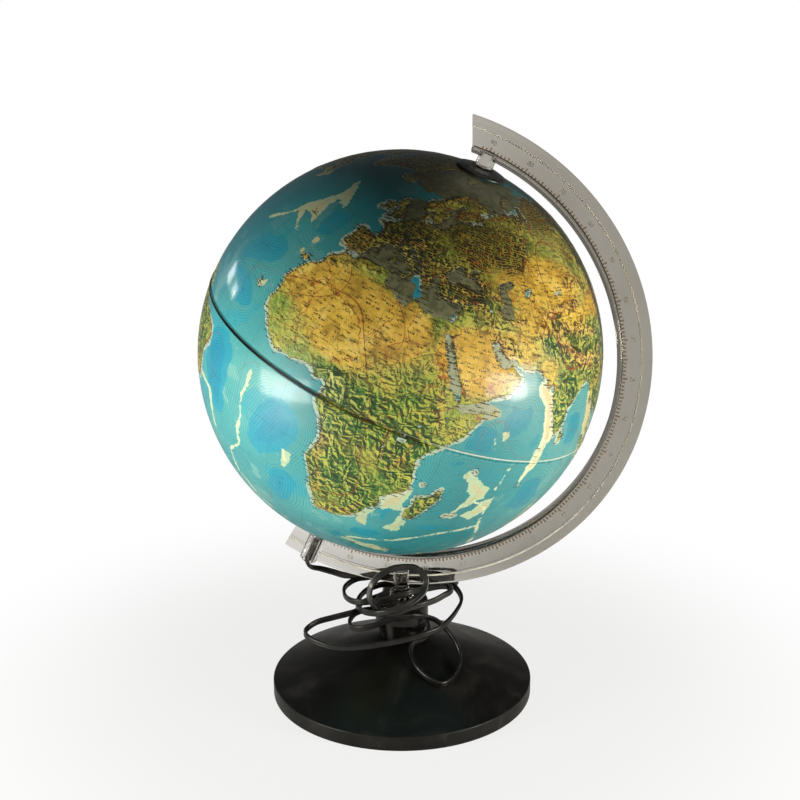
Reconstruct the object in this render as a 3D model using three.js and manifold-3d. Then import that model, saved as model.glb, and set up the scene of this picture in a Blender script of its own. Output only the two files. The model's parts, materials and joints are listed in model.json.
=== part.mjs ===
// Desktop globe on a stand: an illuminated relief globe that spins on a tilted axis in a clear
// meridian arm, on a clear foot, a glossy stem and a weighted round base, with its mains lead
// wound loosely round the stem.
// Millimetres, +Z up. The origin is the middle of the felt pad's underside, on the table.
// The arm lies in the XZ plane and the north pole leans towards +X.
import * as THREE from 'three';
import { mergeVertices } from 'three/addons/utils/BufferGeometryUtils.js';
import Module from 'manifold-3d';

const wasm = await Module();
wasm.setup();

// ---------- driving dimensions ----------
const GAP = 0.3; // clearance between two pieces that touch
const RUNNING_GAP = 0.35; // radial clearance of the globe on its pivots

const GLOBE_RADIUS = 150;
const AXIS_TILT = THREE.MathUtils.degToRad(23.5);
const SHELL_WALL = 2.5;
const POLE_HOLE_RADIUS = 9;
const SEAM_GROOVE_DEPTH = 0.8;
const SEAM_TAPE_WIDTH = 3.2;
const SEAM_TAPE_THICKNESS = 0.4;
const JOINT_RING_WIDTH = 14;
const JOINT_RING_WALL = 2.2;

const CAP_RADIUS = 19;
const CAP_EDGE = 1.2; // thickness of the pole cap at its rim
const CAP_HEIGHT = 3.6; // top of the cap's hub above the globe's surface
const CAP_HUB_RADIUS = 7.6;
const CAP_SOCKET_LENGTH = 10; // how far the cap's socket reaches inside the globe
const RETAINER_RADIUS = 14;
const RETAINER_THICKNESS = 2.4;

const ARM_GAP = 10.5; // from the globe to the arm's inner edge
const FLANGE_DEPTH = 3; // radial
const FLANGE_WIDTH = 12; // across the arm
const ARM_DEPTH = 25; // radial, flange and rim included
const WEB_THICKNESS = 3.2;
const RIM_DEPTH = 8;
const RIM_THICKNESS = 5;
const ARM_PAST_POLE = THREE.MathUtils.degToRad(6.8); // the upper end is cut off upright here
const ARM_PAST_LEAD = THREE.MathUtils.degToRad(6.5);
const ARM_STEP = THREE.MathUtils.degToRad(5); // facet of the arm's long curves

const BOSS_RADIUS = 6.7;
const SPIGOT_RADIUS = 2.6;
const SPIGOT_LENGTH = 9; // into the north cap
const LEAD_BORE_RADIUS = 3.6;
const LEAD_BOSS_LENGTH = 2.5; // past the arm's outer edge

const LAMP_TUBE_RADIUS = 5;
const LAMP_TUBE_WALL = 1;
const LAMP_TUBE_TOP = -45; // along the axis, from the globe's centre
const LAMP_TUBE_SEAT = 6; // how far the tube enters the arm's boss below the flange
const THRUST_WASHER_RADIUS = 9;
const THRUST_WASHER_THICKNESS = 3;
const HOLDER_RADIUS = 13.5;
const HOLDER_LENGTH = 38;
const HOLDER_WALL = 2;
const HOLDER_FLOOR = 3;
const CONTACT_RADIUS = 8.6;
const CONTACT_WALL = 0.6;
const CONTACT_LENGTH = 22;
const BULB_CAP_RADIUS = 7.4;
const BULB_CAP_LENGTH = 22;
const BULB_CAP_WALL = 0.6;
const BULB_RADIUS = 22.5;
const BULB_NECK_RADIUS = 8.8;
const BULB_WALL = 0.9;
const LEAD_RADIUS = 2.1;

const FOOT_HEIGHT = 12.3; // from the stem's top to the arm's lowest point
const FOOT_POST_RADIUS = 4.6;
const FOOT_POST_RISE = 9; // into the arm's foot boss
const FOOT_BOSS_RADIUS = 6.4;
const FOOT_CROWN_RADIUS = 10.3;
const FOOT_CROWN_HEIGHT = 9;
const FOOT_SPIGOT_RADIUS = 7;
const FOOT_SPIGOT_LENGTH = 16;
const FOOT_FLUTES = 12;
const FLUTE_DEPTH = 0.9;

const STEM_HEIGHT = 31.6;
const STEM_BOTTOM_RADIUS = 16.5;
const STEM_RADIUS = 20.5;
const STEM_TAPER_HEIGHT = 15.4; // from the stem's bottom to its straight part
const STEM_BEVEL = 3.4;
const STEM_WALL = 3;

const BASE_RADIUS = 100.8;
const BASE_RIM_TOP = 12.2;
const BASE_CONE_TOP = 45.3;
const BASE_CONE_TOP_RADIUS = 17.5;
const BASE_WALL = 2.6;
const FELT_THICKNESS = 1;
const FELT_MARGIN = 4;
const BOTTOM_PLATE_THICKNESS = 2.2;
const BALLAST_INSET = 22.8; // from the rim
const BALLAST_THICKNESS = 5;
const BALLAST_HOLE_RADIUS = 9;

const BASE_SCREWS = 4;
const BASE_SCREW_INSET = 12.8; // from the rim
const SCREW_BOSS_RADIUS = 4;
const SCREW_RADIUS = 1.6;
const SCREW_HEAD_RADIUS = 3;
const SCREW_HEAD_HEIGHT = 1.6;
const SCREW_LENGTH = 9;
const TIE_SCREW_RADIUS = 2;
const TIE_SCREW_HEAD_RADIUS = 4;
const TIE_SCREW_HEAD_HEIGHT = 3;
const TIE_WASHER_RADIUS = 8;
const TIE_WASHER_THICKNESS = 1.5;
const TIE_SCREW_GRIP = 12; // thread inside the clear foot

const SWITCH_LENGTH = 46;
const SWITCH_WIDTH = 21;
const SWITCH_HEIGHT = 15;
const SWITCH_WALL = 1.8;
const SWITCH_START = 36; // behind the stem, from the globe's foot axis
const SWITCH_LIFT = 0.4; // above the base's slope
const ROCKER_LENGTH = 12.4;
const ROCKER_WIDTH = 7.6;
const ROCKER_CLEARANCE = 0.6;
const ROCKER_RISE = 2.2; // above the cover
const ROCKER_DROP = 4.5; // below the cover's face
const ROCKER_TILT = THREE.MathUtils.degToRad(8);
const ROCKER_PIN_RADIUS = 1;
const SWITCH_SCREW_OFFSET = 16.5;
const SWITCH_SCREW_RADIUS = 1.2;
const SWITCH_SCREW_HEAD_RADIUS = 2.1;
const SWITCH_SCREW_HEAD_HEIGHT = 1.4;
const SWITCH_POST_RADIUS = 3;

const PLUG_RELIEF_START = 112; // behind the stem, from the globe's foot axis
const PLUG_RELIEF_LENGTH = 20;
const PLUG_LENGTH = 33;
const PLUG_WIDTH = 34;
const PLUG_NECK_WIDTH = 11;
const PLUG_THICKNESS = 13.6;
const PIN_RADIUS = 2;
const PIN_LENGTH = 19;
const PIN_SEAT = 9; // inside the plug's body
const PIN_SPACING = 18.6;

// The hidden end of the lead runs straight away behind the stem, in this direction.
const BACK = new THREE.Vector3(-0.218, 0.976, 0);

// ---------- worked out from the driving dimensions ----------
const ARM_INNER = GLOBE_RADIUS + ARM_GAP;
const ARM_OUTER = ARM_INNER + ARM_DEPTH;
const CAP_TOP = GLOBE_RADIUS + CAP_HEIGHT;
const STEM_BOTTOM = BASE_CONE_TOP + GAP;
const STEM_TOP = STEM_BOTTOM + STEM_HEIGHT;
const FOOT_TOP = STEM_TOP + FOOT_HEIGHT; // height of the arm's lowest point
const GLOBE_CENTRE_HEIGHT = FOOT_TOP + ARM_OUTER;
const SHELL_INSIDE = GLOBE_RADIUS - SHELL_WALL;
const CAP_SOCKET_RADIUS = POLE_HOLE_RADIUS - GAP;
const CAP_SOCKET_END = GLOBE_RADIUS - CAP_SOCKET_LENGTH;
const BOSS_START = CAP_TOP + RUNNING_GAP;
const TUBE_SEAT = ARM_INNER + LAMP_TUBE_SEAT;
const LEAD_EXIT = ARM_OUTER + LEAD_BOSS_LENGTH;
const BASE_SCREW_CIRCLE = BASE_RADIUS - BASE_SCREW_INSET;
const BALLAST_RADIUS = BASE_RADIUS - BALLAST_INSET;
const CONE_SLOPE = (BASE_CONE_TOP - BASE_RIM_TOP) / (BASE_RADIUS - BASE_CONE_TOP_RADIUS);

// ---------- helpers ----------
function weld(geometry) {
  const bare = geometry.clone();
  for (const name of Object.keys(bare.attributes)) {
    if (name !== 'position') bare.deleteAttribute(name);
  }
  const merged = mergeVertices(bare, 1e-4);
  const source = merged.index.array;
  const kept = [];
  for (let i = 0; i < source.length; i += 3) {
    const [a, b, c] = [source[i], source[i + 1], source[i + 2]];
    if (a !== b && b !== c && a !== c) kept.push(a, b, c);
  }
  merged.setIndex(kept);
  return merged;
}

function toSolid(geometry) {
  const welded = weld(geometry);
  const mesh = new wasm.Mesh({
    numProp: 3,
    vertProperties: new Float32Array(welded.attributes.position.array),
    triVerts: new Uint32Array(welded.index.array),
  });
  return new wasm.Manifold(mesh);
}

function toGeometry(solid) {
  const mesh = solid.getMesh();
  const geometry = new THREE.BufferGeometry();
  geometry.setAttribute('position', new THREE.BufferAttribute(mesh.vertProperties, 3));
  geometry.setIndex(new THREE.BufferAttribute(mesh.triVerts, 1));
  return geometry;
}

function joined(first, ...others) {
  return toGeometry(others.reduce((sum, next) => sum.add(toSolid(next)), toSolid(first)));
}

function cut(body, ...tools) {
  return toGeometry(tools.reduce((rest, tool) => rest.subtract(toSolid(tool)), toSolid(body)));
}

// A body turned about Z from a list of [radius, height] corners, in either direction.
function turned(corners, segments = 32) {
  let twiceArea = 0;
  corners.forEach(([r, z], i) => {
    const [nextR, nextZ] = corners[(i + 1) % corners.length];
    twiceArea += r * nextZ - nextR * z;
  });
  const ordered = twiceArea > 0 ? [...corners] : [...corners].reverse();
  const onAxis = ordered.filter(([r]) => r === 0).length;
  if (onAxis === 0) {
    ordered.push(ordered[0]);
  } else {
    while (ordered[0][0] !== 0 || ordered[ordered.length - 1][0] !== 0) ordered.push(ordered.shift());
  }
  const points = ordered.map(([r, z]) => new THREE.Vector2(r, z));
  return weld(new THREE.LatheGeometry(points, segments).rotateX(Math.PI / 2));
}

function rod(radius, low, high, segments = 24) {
  return turned([[0, low], [radius, low], [radius, high], [0, high]], segments);
}

function ring(inner, outer, low, high, segments = 32) {
  return turned([[inner, low], [outer, low], [outer, high], [inner, high]], segments);
}

// Corners of an arc about the origin in the [radius, height] plane, by angle from the Z axis.
function arc(radius, from, to, steps) {
  return Array.from({ length: steps + 1 }, (_, i) => {
    const angle = from + ((to - from) * i) / steps;
    return [radius * Math.sin(angle), radius * Math.cos(angle)];
  });
}

function mirrored(corners) {
  return corners.map(([r, z]) => [r, -z]);
}

function piece(name, geometry, look) {
  const mesh = new THREE.Mesh(geometry, new THREE.MeshStandardMaterial(look));
  mesh.name = name;
  return mesh;
}

const look = {
  map: { color: 0x4f9aa0, roughness: 0.2, metalness: 0 },
  blackPlastic: { color: 0x111110, roughness: 0.25, metalness: 0 },
  greyPlastic: { color: 0x2b2b2c, roughness: 0.45, metalness: 0 },
  whitePlastic: { color: 0xe2e0d8, roughness: 0.4, metalness: 0 },
  clear: { color: 0xdadad4, roughness: 0.08, metalness: 0, transparent: true, opacity: 0.35 },
  steel: { color: 0xb9bcc0, roughness: 0.3, metalness: 1 },
  brass: { color: 0xc9a860, roughness: 0.3, metalness: 1 },
  castIron: { color: 0x3d3d3f, roughness: 0.7, metalness: 0.6 },
  bulb: { color: 0xf4efe4, roughness: 0.3, metalness: 0, transparent: true, opacity: 0.8 },
  felt: { color: 0x1c1c1c, roughness: 1, metalness: 0 },
  tape: { color: 0xe9e6da, roughness: 0.5, metalness: 0 },
  rubber: { color: 0x161616, roughness: 0.5, metalness: 0 },
};

// ---------- the globe: everything here turns together about its own Z axis ----------
function hemisphere() {
  const lip = SEAM_TAPE_WIDTH / 2 + GAP;
  const poleAngle = Math.asin(POLE_HOLE_RADIUS / GLOBE_RADIUS);
  const seamAngle = Math.acos(lip / GLOBE_RADIUS);
  const outside = arc(GLOBE_RADIUS, seamAngle, poleAngle, 11);
  const pastRetainer = Math.asin((RETAINER_RADIUS + 1) / SHELL_INSIDE);
  const pastRing = Math.acos((JOINT_RING_WIDTH / 2 + 1) / SHELL_INSIDE);
  const inside = [
    ...arc(SHELL_INSIDE, Math.asin(POLE_HOLE_RADIUS / SHELL_INSIDE), pastRetainer, 1),
    ...arc(SHELL_INSIDE, pastRetainer, pastRing, 7).slice(1),
    ...arc(SHELL_INSIDE, pastRing, Math.acos(GAP / 2 / SHELL_INSIDE), 1).slice(1),
  ];
  const groove = GLOBE_RADIUS - SEAM_GROOVE_DEPTH;
  return [[groove, GAP / 2], [groove, lip], ...outside, ...inside];
}

function seamTape() {
  const inner = GLOBE_RADIUS - SEAM_GROOVE_DEPTH + GAP;
  return ring(inner, inner + SEAM_TAPE_THICKNESS, -SEAM_TAPE_WIDTH / 2, SEAM_TAPE_WIDTH / 2, 48);
}

function jointRing() {
  const half = JOINT_RING_WIDTH / 2;
  const outer = Math.sqrt(SHELL_INSIDE ** 2 - (half + 1) ** 2) - GAP;
  return ring(outer - JOINT_RING_WALL, outer, -half, half, 48);
}

// A domed pole cap with a hub outside and a socket that passes through the shell's pole hole.
function poleCap(boreRadius) {
  const under = GLOBE_RADIUS + GAP;
  const rimAngle = Math.asin(CAP_RADIUS / under);
  const holeAngle = Math.asin(POLE_HOLE_RADIUS / under);
  const rimHeight = under * Math.cos(rimAngle);
  const seat = arc(under, rimAngle, holeAngle, 2);
  return [
    [boreRadius, CAP_TOP], [CAP_HUB_RADIUS, CAP_TOP],
    [(CAP_HUB_RADIUS + CAP_RADIUS) / 2, (CAP_TOP + rimHeight + CAP_EDGE) / 2 + 0.35],
    [CAP_RADIUS, rimHeight + CAP_EDGE], ...seat,
    [CAP_SOCKET_RADIUS, seat[seat.length - 1][1]], [CAP_SOCKET_RADIUS, CAP_SOCKET_END],
    [boreRadius, CAP_SOCKET_END],
  ];
}

// A push-on ring inside the globe that holds a pole cap's socket.
function retainer() {
  const top = Math.sqrt(SHELL_INSIDE ** 2 - RETAINER_RADIUS ** 2) - GAP;
  const inner = CAP_SOCKET_RADIUS + GAP;
  return [[inner, top - RETAINER_THICKNESS], [RETAINER_RADIUS, top - RETAINER_THICKNESS],
    [RETAINER_RADIUS, top], [inner, top]];
}

function globe() {
  const group = new THREE.Group();
  const spigotBore = SPIGOT_RADIUS + RUNNING_GAP;
  const tubeBore = LAMP_TUBE_RADIUS + RUNNING_GAP;
  group.add(
    piece('north_shell', turned(hemisphere(), 48), look.map),
    piece('south_shell', turned(mirrored(hemisphere()), 48), look.map),
    piece('seam_tape', seamTape(), look.tape),
    piece('joint_ring', jointRing(), look.whitePlastic),
    piece('north_cap', turned(poleCap(spigotBore)), look.blackPlastic),
    piece('south_cap', turned(mirrored(poleCap(tubeBore))), look.blackPlastic),
    piece('north_retainer', turned(retainer()), look.whitePlastic),
    piece('south_retainer', turned(mirrored(retainer())), look.whitePlastic),
  );
  return group;
}

// ---------- the lamp inside the globe, along the same axis but fixed to the arm ----------
function lampHolder() {
  const low = LAMP_TUBE_TOP - HOLDER_FLOOR;
  const high = low + HOLDER_LENGTH;
  const inside = HOLDER_RADIUS - HOLDER_WALL;
  const bore = LAMP_TUBE_RADIUS + GAP;
  return [[bore, low], [HOLDER_RADIUS - 3, low], [HOLDER_RADIUS, low + 6], [HOLDER_RADIUS, high],
    [inside, high], [inside, LAMP_TUBE_TOP + GAP + 3], [bore, LAMP_TUBE_TOP + GAP]];
}

function screwContact() {
  const low = LAMP_TUBE_TOP + 7;
  return turned([[0, low], [HOLDER_RADIUS - HOLDER_WALL - GAP, low],
    [HOLDER_RADIUS - HOLDER_WALL - GAP, low + 1.5], [CONTACT_RADIUS, low + 1.5],
    [CONTACT_RADIUS, low + CONTACT_LENGTH], [CONTACT_RADIUS - CONTACT_WALL, low + CONTACT_LENGTH],
    [CONTACT_RADIUS - CONTACT_WALL, low + 1.5 + CONTACT_WALL], [0, low + 1.5 + CONTACT_WALL]], 24);
}

function bulbBottom() {
  return LAMP_TUBE_TOP + 7 + 1.5 + CONTACT_WALL + GAP;
}

function bulbCap() {
  const low = bulbBottom();
  const high = low + BULB_CAP_LENGTH;
  const inside = BULB_CAP_RADIUS - BULB_CAP_WALL;
  return turned([[0, low], [4, low], [BULB_CAP_RADIUS, low + 3], [BULB_CAP_RADIUS, high],
    [inside, high], [inside, low + 3.4], [3.6, low + BULB_CAP_WALL + 0.6],
    [0, low + BULB_CAP_WALL + 0.6]], 24);
}

function bulbGlass() {
  const low = bulbBottom() + BULB_CAP_LENGTH + GAP;
  const neckAngle = Math.PI - Math.asin(BULB_NECK_RADIUS / BULB_RADIUS);
  const neckDrop = BULB_RADIUS * Math.cos(neckAngle);
  const middle = low + 4 - neckDrop;
  const up = ([r, z]) => [r, z + middle];
  const outside = arc(BULB_RADIUS, neckAngle, 0, 8).map(up);
  const inner = BULB_RADIUS - BULB_WALL;
  const insideNeck = Math.PI - Math.asin((BULB_NECK_RADIUS - BULB_WALL) / inner);
  const inside = arc(inner, 0, insideNeck, 7).map(up);
  outside[outside.length - 1][0] = 0;
  inside[0][0] = 0;
  return turned([[BULB_NECK_RADIUS - 2, low], ...outside, ...inside,
    [BULB_NECK_RADIUS - 2 - BULB_WALL, low]], 24);
}

function lamp() {
  const group = new THREE.Group();
  const seat = -(TUBE_SEAT - GAP);
  const washerLow = -CAP_SOCKET_END + RUNNING_GAP;
  const washerBore = LAMP_TUBE_RADIUS + GAP;
  group.add(
    piece('lamp_tube', ring(LAMP_TUBE_RADIUS - LAMP_TUBE_WALL, LAMP_TUBE_RADIUS, seat,
      LAMP_TUBE_TOP, 24), look.steel),
    piece('thrust_washer', ring(washerBore, THRUST_WASHER_RADIUS, washerLow,
      washerLow + THRUST_WASHER_THICKNESS, 24), look.whitePlastic),
    piece('lamp_holder', turned(lampHolder()), look.whitePlastic),
    piece('screw_contact', screwContact(), look.brass),
    piece('bulb_cap', bulbCap(), look.steel),
    piece('bulb_glass', bulbGlass(), look.bulb),
    piece('inner_lead', rod(LEAD_RADIUS, -LEAD_EXIT + GAP, LAMP_TUBE_TOP + 7 - GAP, 12), look.rubber),
  );
  return group;
}

// Everything on the tilted axis, with its Z axis through the two poles.
function onAxis(...groups) {
  const holder = new THREE.Group();
  holder.position.z = GLOBE_CENTRE_HEIGHT;
  holder.rotation.y = AXIS_TILT;
  holder.add(...groups);
  return holder;
}

function alongAxis(geometry) {
  return geometry.rotateY(AXIS_TILT).translate(0, 0, GLOBE_CENTRE_HEIGHT);
}

// ---------- the clear meridian arm ----------
// A stretch of flat bar bent round the globe: angles run from straight up towards +X.
function bentBar(inner, outer, thickness) {
  const from = AXIS_TILT - ARM_PAST_POLE - ARM_STEP / 2;
  const to = AXIS_TILT + Math.PI + ARM_PAST_LEAD;
  const steps = Math.round((to - from) / ARM_STEP);
  const outline = [...arc(outer, from, to, steps), ...arc(inner, to, from, steps)];
  const shape = new THREE.Shape(outline.map(([x, z]) => new THREE.Vector2(x, z)));
  const bar = new THREE.ExtrudeGeometry(shape, { depth: thickness, bevelEnabled: false });
  return bar.rotateX(Math.PI / 2).translate(0, thickness / 2, GLOBE_CENTRE_HEIGHT);
}

function meridianArm() {
  const poleBoss = rod(BOSS_RADIUS, BOSS_START, ARM_INNER + FLANGE_DEPTH, 28);
  const spigot = rod(SPIGOT_RADIUS, BOSS_START - SPIGOT_LENGTH, BOSS_START + 1, 20);
  const leadBoss = rod(BOSS_RADIUS, -LEAD_EXIT, -BOSS_START, 28);
  const tubeBore = rod(LAMP_TUBE_RADIUS + GAP, -TUBE_SEAT, 0, 32);
  const leadBore = rod(LEAD_BORE_RADIUS, -LEAD_EXIT - 1, -TUBE_SEAT + 1, 20);
  const footBoss = rod(FOOT_BOSS_RADIUS, FOOT_TOP - 1, FOOT_TOP + FOOT_POST_RISE + 2, 28);
  const footBore = rod(FOOT_POST_RADIUS + GAP, FOOT_TOP - 2, FOOT_TOP + FOOT_POST_RISE + GAP, 24);
  const tipX = ARM_OUTER * Math.sin(AXIS_TILT - ARM_PAST_POLE);
  const tipCut = new THREE.BoxGeometry(ARM_OUTER, FLANGE_WIDTH * 2, ARM_OUTER)
    .translate(tipX - ARM_OUTER / 2, 0, GLOBE_CENTRE_HEIGHT + ARM_OUTER);
  const bar = joined(
    bentBar(ARM_INNER, ARM_OUTER, WEB_THICKNESS),
    bentBar(ARM_INNER, ARM_INNER + FLANGE_DEPTH, FLANGE_WIDTH),
    bentBar(ARM_OUTER - RIM_DEPTH, ARM_OUTER, RIM_THICKNESS),
  );
  const arm = joined(cut(bar, tipCut), alongAxis(poleBoss), alongAxis(spigot), alongAxis(leadBoss),
    footBoss);
  return cut(arm, alongAxis(tubeBore), alongAxis(leadBore), footBore);
}

// ---------- the clear foot and the black stem ----------
function flutedOutline(radius) {
  const points = [];
  const count = FOOT_FLUTES * 2;
  for (let i = 0; i < count; i += 1) {
    const angle = (i * 2 * Math.PI) / count;
    const reach = radius - (i % 2) * FLUTE_DEPTH;
    points.push(new THREE.Vector2(reach * Math.cos(angle), reach * Math.sin(angle)));
  }
  return new THREE.Shape(points);
}

function clearFoot() {
  const top = FOOT_TOP + FOOT_POST_RISE;
  const crownTop = FOOT_TOP - 1 - GAP;
  const low = STEM_TOP + GAP;
  const post = new THREE.ExtrudeGeometry(flutedOutline(FOOT_POST_RADIUS),
    { depth: top - low, bevelEnabled: false }).translate(0, 0, low);
  const wide = low + FOOT_CROWN_HEIGHT * 0.35;
  const waist = Math.min(low + FOOT_CROWN_HEIGHT, crownTop);
  const crown = turned([[0, low], [FOOT_CROWN_RADIUS * 0.8, low], [FOOT_CROWN_RADIUS, wide],
    [FOOT_CROWN_RADIUS * 0.9, wide + 2], [FOOT_POST_RADIUS, waist], [0, waist]], FOOT_FLUTES * 2);
  const spigot = rod(FOOT_SPIGOT_RADIUS, STEM_TOP - FOOT_SPIGOT_LENGTH, low + 1, 28);
  const thread = rod(TIE_SCREW_RADIUS + GAP, STEM_TOP - FOOT_SPIGOT_LENGTH - 1,
    STEM_TOP - FOOT_SPIGOT_LENGTH + TIE_SCREW_GRIP, 16);
  return cut(joined(post, crown, spigot), thread);
}

function stem() {
  const socket = FOOT_SPIGOT_RADIUS + GAP;
  const socketFloor = STEM_TOP - FOOT_SPIGOT_LENGTH - GAP;
  const septum = socketFloor - STEM_WALL;
  const passage = TIE_SCREW_RADIUS + GAP;
  const taper = (STEM_RADIUS - STEM_BOTTOM_RADIUS) / STEM_TAPER_HEIGHT;
  const skirtTop = STEM_BOTTOM_RADIUS + taper * (septum - STEM_BOTTOM) - STEM_WALL;
  return turned([
    [STEM_BOTTOM_RADIUS - STEM_WALL, STEM_BOTTOM], [STEM_BOTTOM_RADIUS, STEM_BOTTOM],
    [STEM_RADIUS, STEM_BOTTOM + STEM_TAPER_HEIGHT], [STEM_RADIUS, STEM_TOP - STEM_BEVEL],
    [STEM_RADIUS - STEM_BEVEL, STEM_TOP], [socket, STEM_TOP], [socket, socketFloor],
    [passage, socketFloor], [passage, septum], [skirtTop, septum],
  ], 40);
}

// ---------- the weighted base ----------
function coneHeight(radius) {
  return BASE_CONE_TOP - (radius - BASE_CONE_TOP_RADIUS) * CONE_SLOPE;
}

function baseScrewPlaces() {
  return Array.from({ length: BASE_SCREWS }, (_, i) => {
    const angle = ((i + 0.5) * 2 * Math.PI) / BASE_SCREWS;
    return [BASE_SCREW_CIRCLE * Math.cos(angle), BASE_SCREW_CIRCLE * Math.sin(angle)];
  });
}

function baseShell() {
  const low = FELT_THICKNESS - 0.2;
  const drop = BASE_WALL * Math.hypot(1, CONE_SLOPE);
  const inner = BASE_RADIUS - BASE_WALL;
  const passage = TIE_SCREW_RADIUS + GAP;
  const plateTop = FELT_THICKNESS + GAP + BOTTOM_PLATE_THICKNESS;
  const shell = turned([
    [inner, low], [BASE_RADIUS - 0.5, low], [BASE_RADIUS, low + 0.5],
    [BASE_RADIUS, BASE_RIM_TOP - 0.6], [BASE_RADIUS - 0.6, BASE_RIM_TOP],
    [BASE_CONE_TOP_RADIUS, BASE_CONE_TOP], [passage, BASE_CONE_TOP],
    [passage, BASE_CONE_TOP - BASE_WALL], [BASE_CONE_TOP_RADIUS - 2, BASE_CONE_TOP - BASE_WALL - 0.6],
    [inner, BASE_RIM_TOP - drop],
  ], 60);
  const bosses = baseScrewPlaces().map(([x, y]) => rod(SCREW_BOSS_RADIUS, plateTop + GAP,
    coneHeight(BASE_SCREW_CIRCLE) - BASE_WALL, 16).translate(x, y, 0));
  const holes = baseScrewPlaces().map(([x, y]) => rod(SCREW_RADIUS + GAP, plateTop - 1,
    FELT_THICKNESS + SCREW_LENGTH + 1, 12).translate(x, y, 0));
  return cut(joined(shell, ...bosses), ...holes);
}

function bottomPlate() {
  const low = FELT_THICKNESS + GAP;
  const high = low + BOTTOM_PLATE_THICKNESS;
  const disc = ring(TIE_SCREW_HEAD_RADIUS + 5, BASE_RADIUS - BASE_WALL - GAP, low, high, 48);
  const holes = baseScrewPlaces().flatMap(([x, y]) => [
    rod(SCREW_RADIUS + GAP, low - 1, high + 1, 12).translate(x, y, 0),
    rod(SCREW_HEAD_RADIUS + GAP, low - 1, low + SCREW_HEAD_HEIGHT - 0.6, 16).translate(x, y, 0),
  ]);
  return cut(disc, ...holes);
}

function baseScrew() {
  const low = FELT_THICKNESS + GAP;
  return turned([[0, low], [SCREW_HEAD_RADIUS, low], [SCREW_HEAD_RADIUS, low + 0.7],
    [SCREW_RADIUS, low + 0.7], [SCREW_RADIUS, low + SCREW_LENGTH - 1], [0, low + SCREW_LENGTH]], 16);
}

function ballast() {
  const low = FELT_THICKNESS + GAP + BOTTOM_PLATE_THICKNESS + GAP;
  return ring(BALLAST_HOLE_RADIUS, BALLAST_RADIUS, low, low + BALLAST_THICKNESS, 40);
}

function feltPad() {
  return rod(BASE_RADIUS - FELT_MARGIN, 0, FELT_THICKNESS, 48);
}

// The long screw that draws the clear foot and the stem down on the base, and its washer.
function tieScrew() {
  const under = BASE_CONE_TOP - BASE_WALL - 0.6 - GAP - TIE_WASHER_THICKNESS - GAP;
  const tip = STEM_TOP - FOOT_SPIGOT_LENGTH + TIE_SCREW_GRIP - GAP;
  return turned([[0, under - TIE_SCREW_HEAD_HEIGHT], [TIE_SCREW_HEAD_RADIUS, under - TIE_SCREW_HEAD_HEIGHT],
    [TIE_SCREW_HEAD_RADIUS, under], [TIE_SCREW_RADIUS, under], [TIE_SCREW_RADIUS, tip - 1], [0, tip]], 20);
}

function tieWasher() {
  const high = BASE_CONE_TOP - BASE_WALL - 0.6 - GAP;
  return ring(TIE_SCREW_RADIUS + GAP, TIE_WASHER_RADIUS, high - TIE_WASHER_THICKNESS, high, 24);
}

function stand() {
  const group = new THREE.Group();
  group.add(
    piece('meridian_arm', meridianArm(), look.clear),
    piece('clear_foot', clearFoot(), look.clear),
    piece('stem', stem(), look.blackPlastic),
    piece('base_shell', baseShell(), look.blackPlastic),
    piece('ballast', ballast(), look.castIron),
    piece('bottom_plate', bottomPlate(), look.greyPlastic),
    piece('felt_pad', feltPad(), look.felt),
    piece('tie_screw', tieScrew(), look.steel),
    piece('tie_washer', tieWasher(), look.steel),
  );
  baseScrewPlaces().forEach(([x, y], i) => {
    const screw = piece(`base_screw_${i + 1}`, baseScrew(), look.steel);
    screw.position.set(x, y, 0);
    group.add(screw);
  });
  return group;
}

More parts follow.
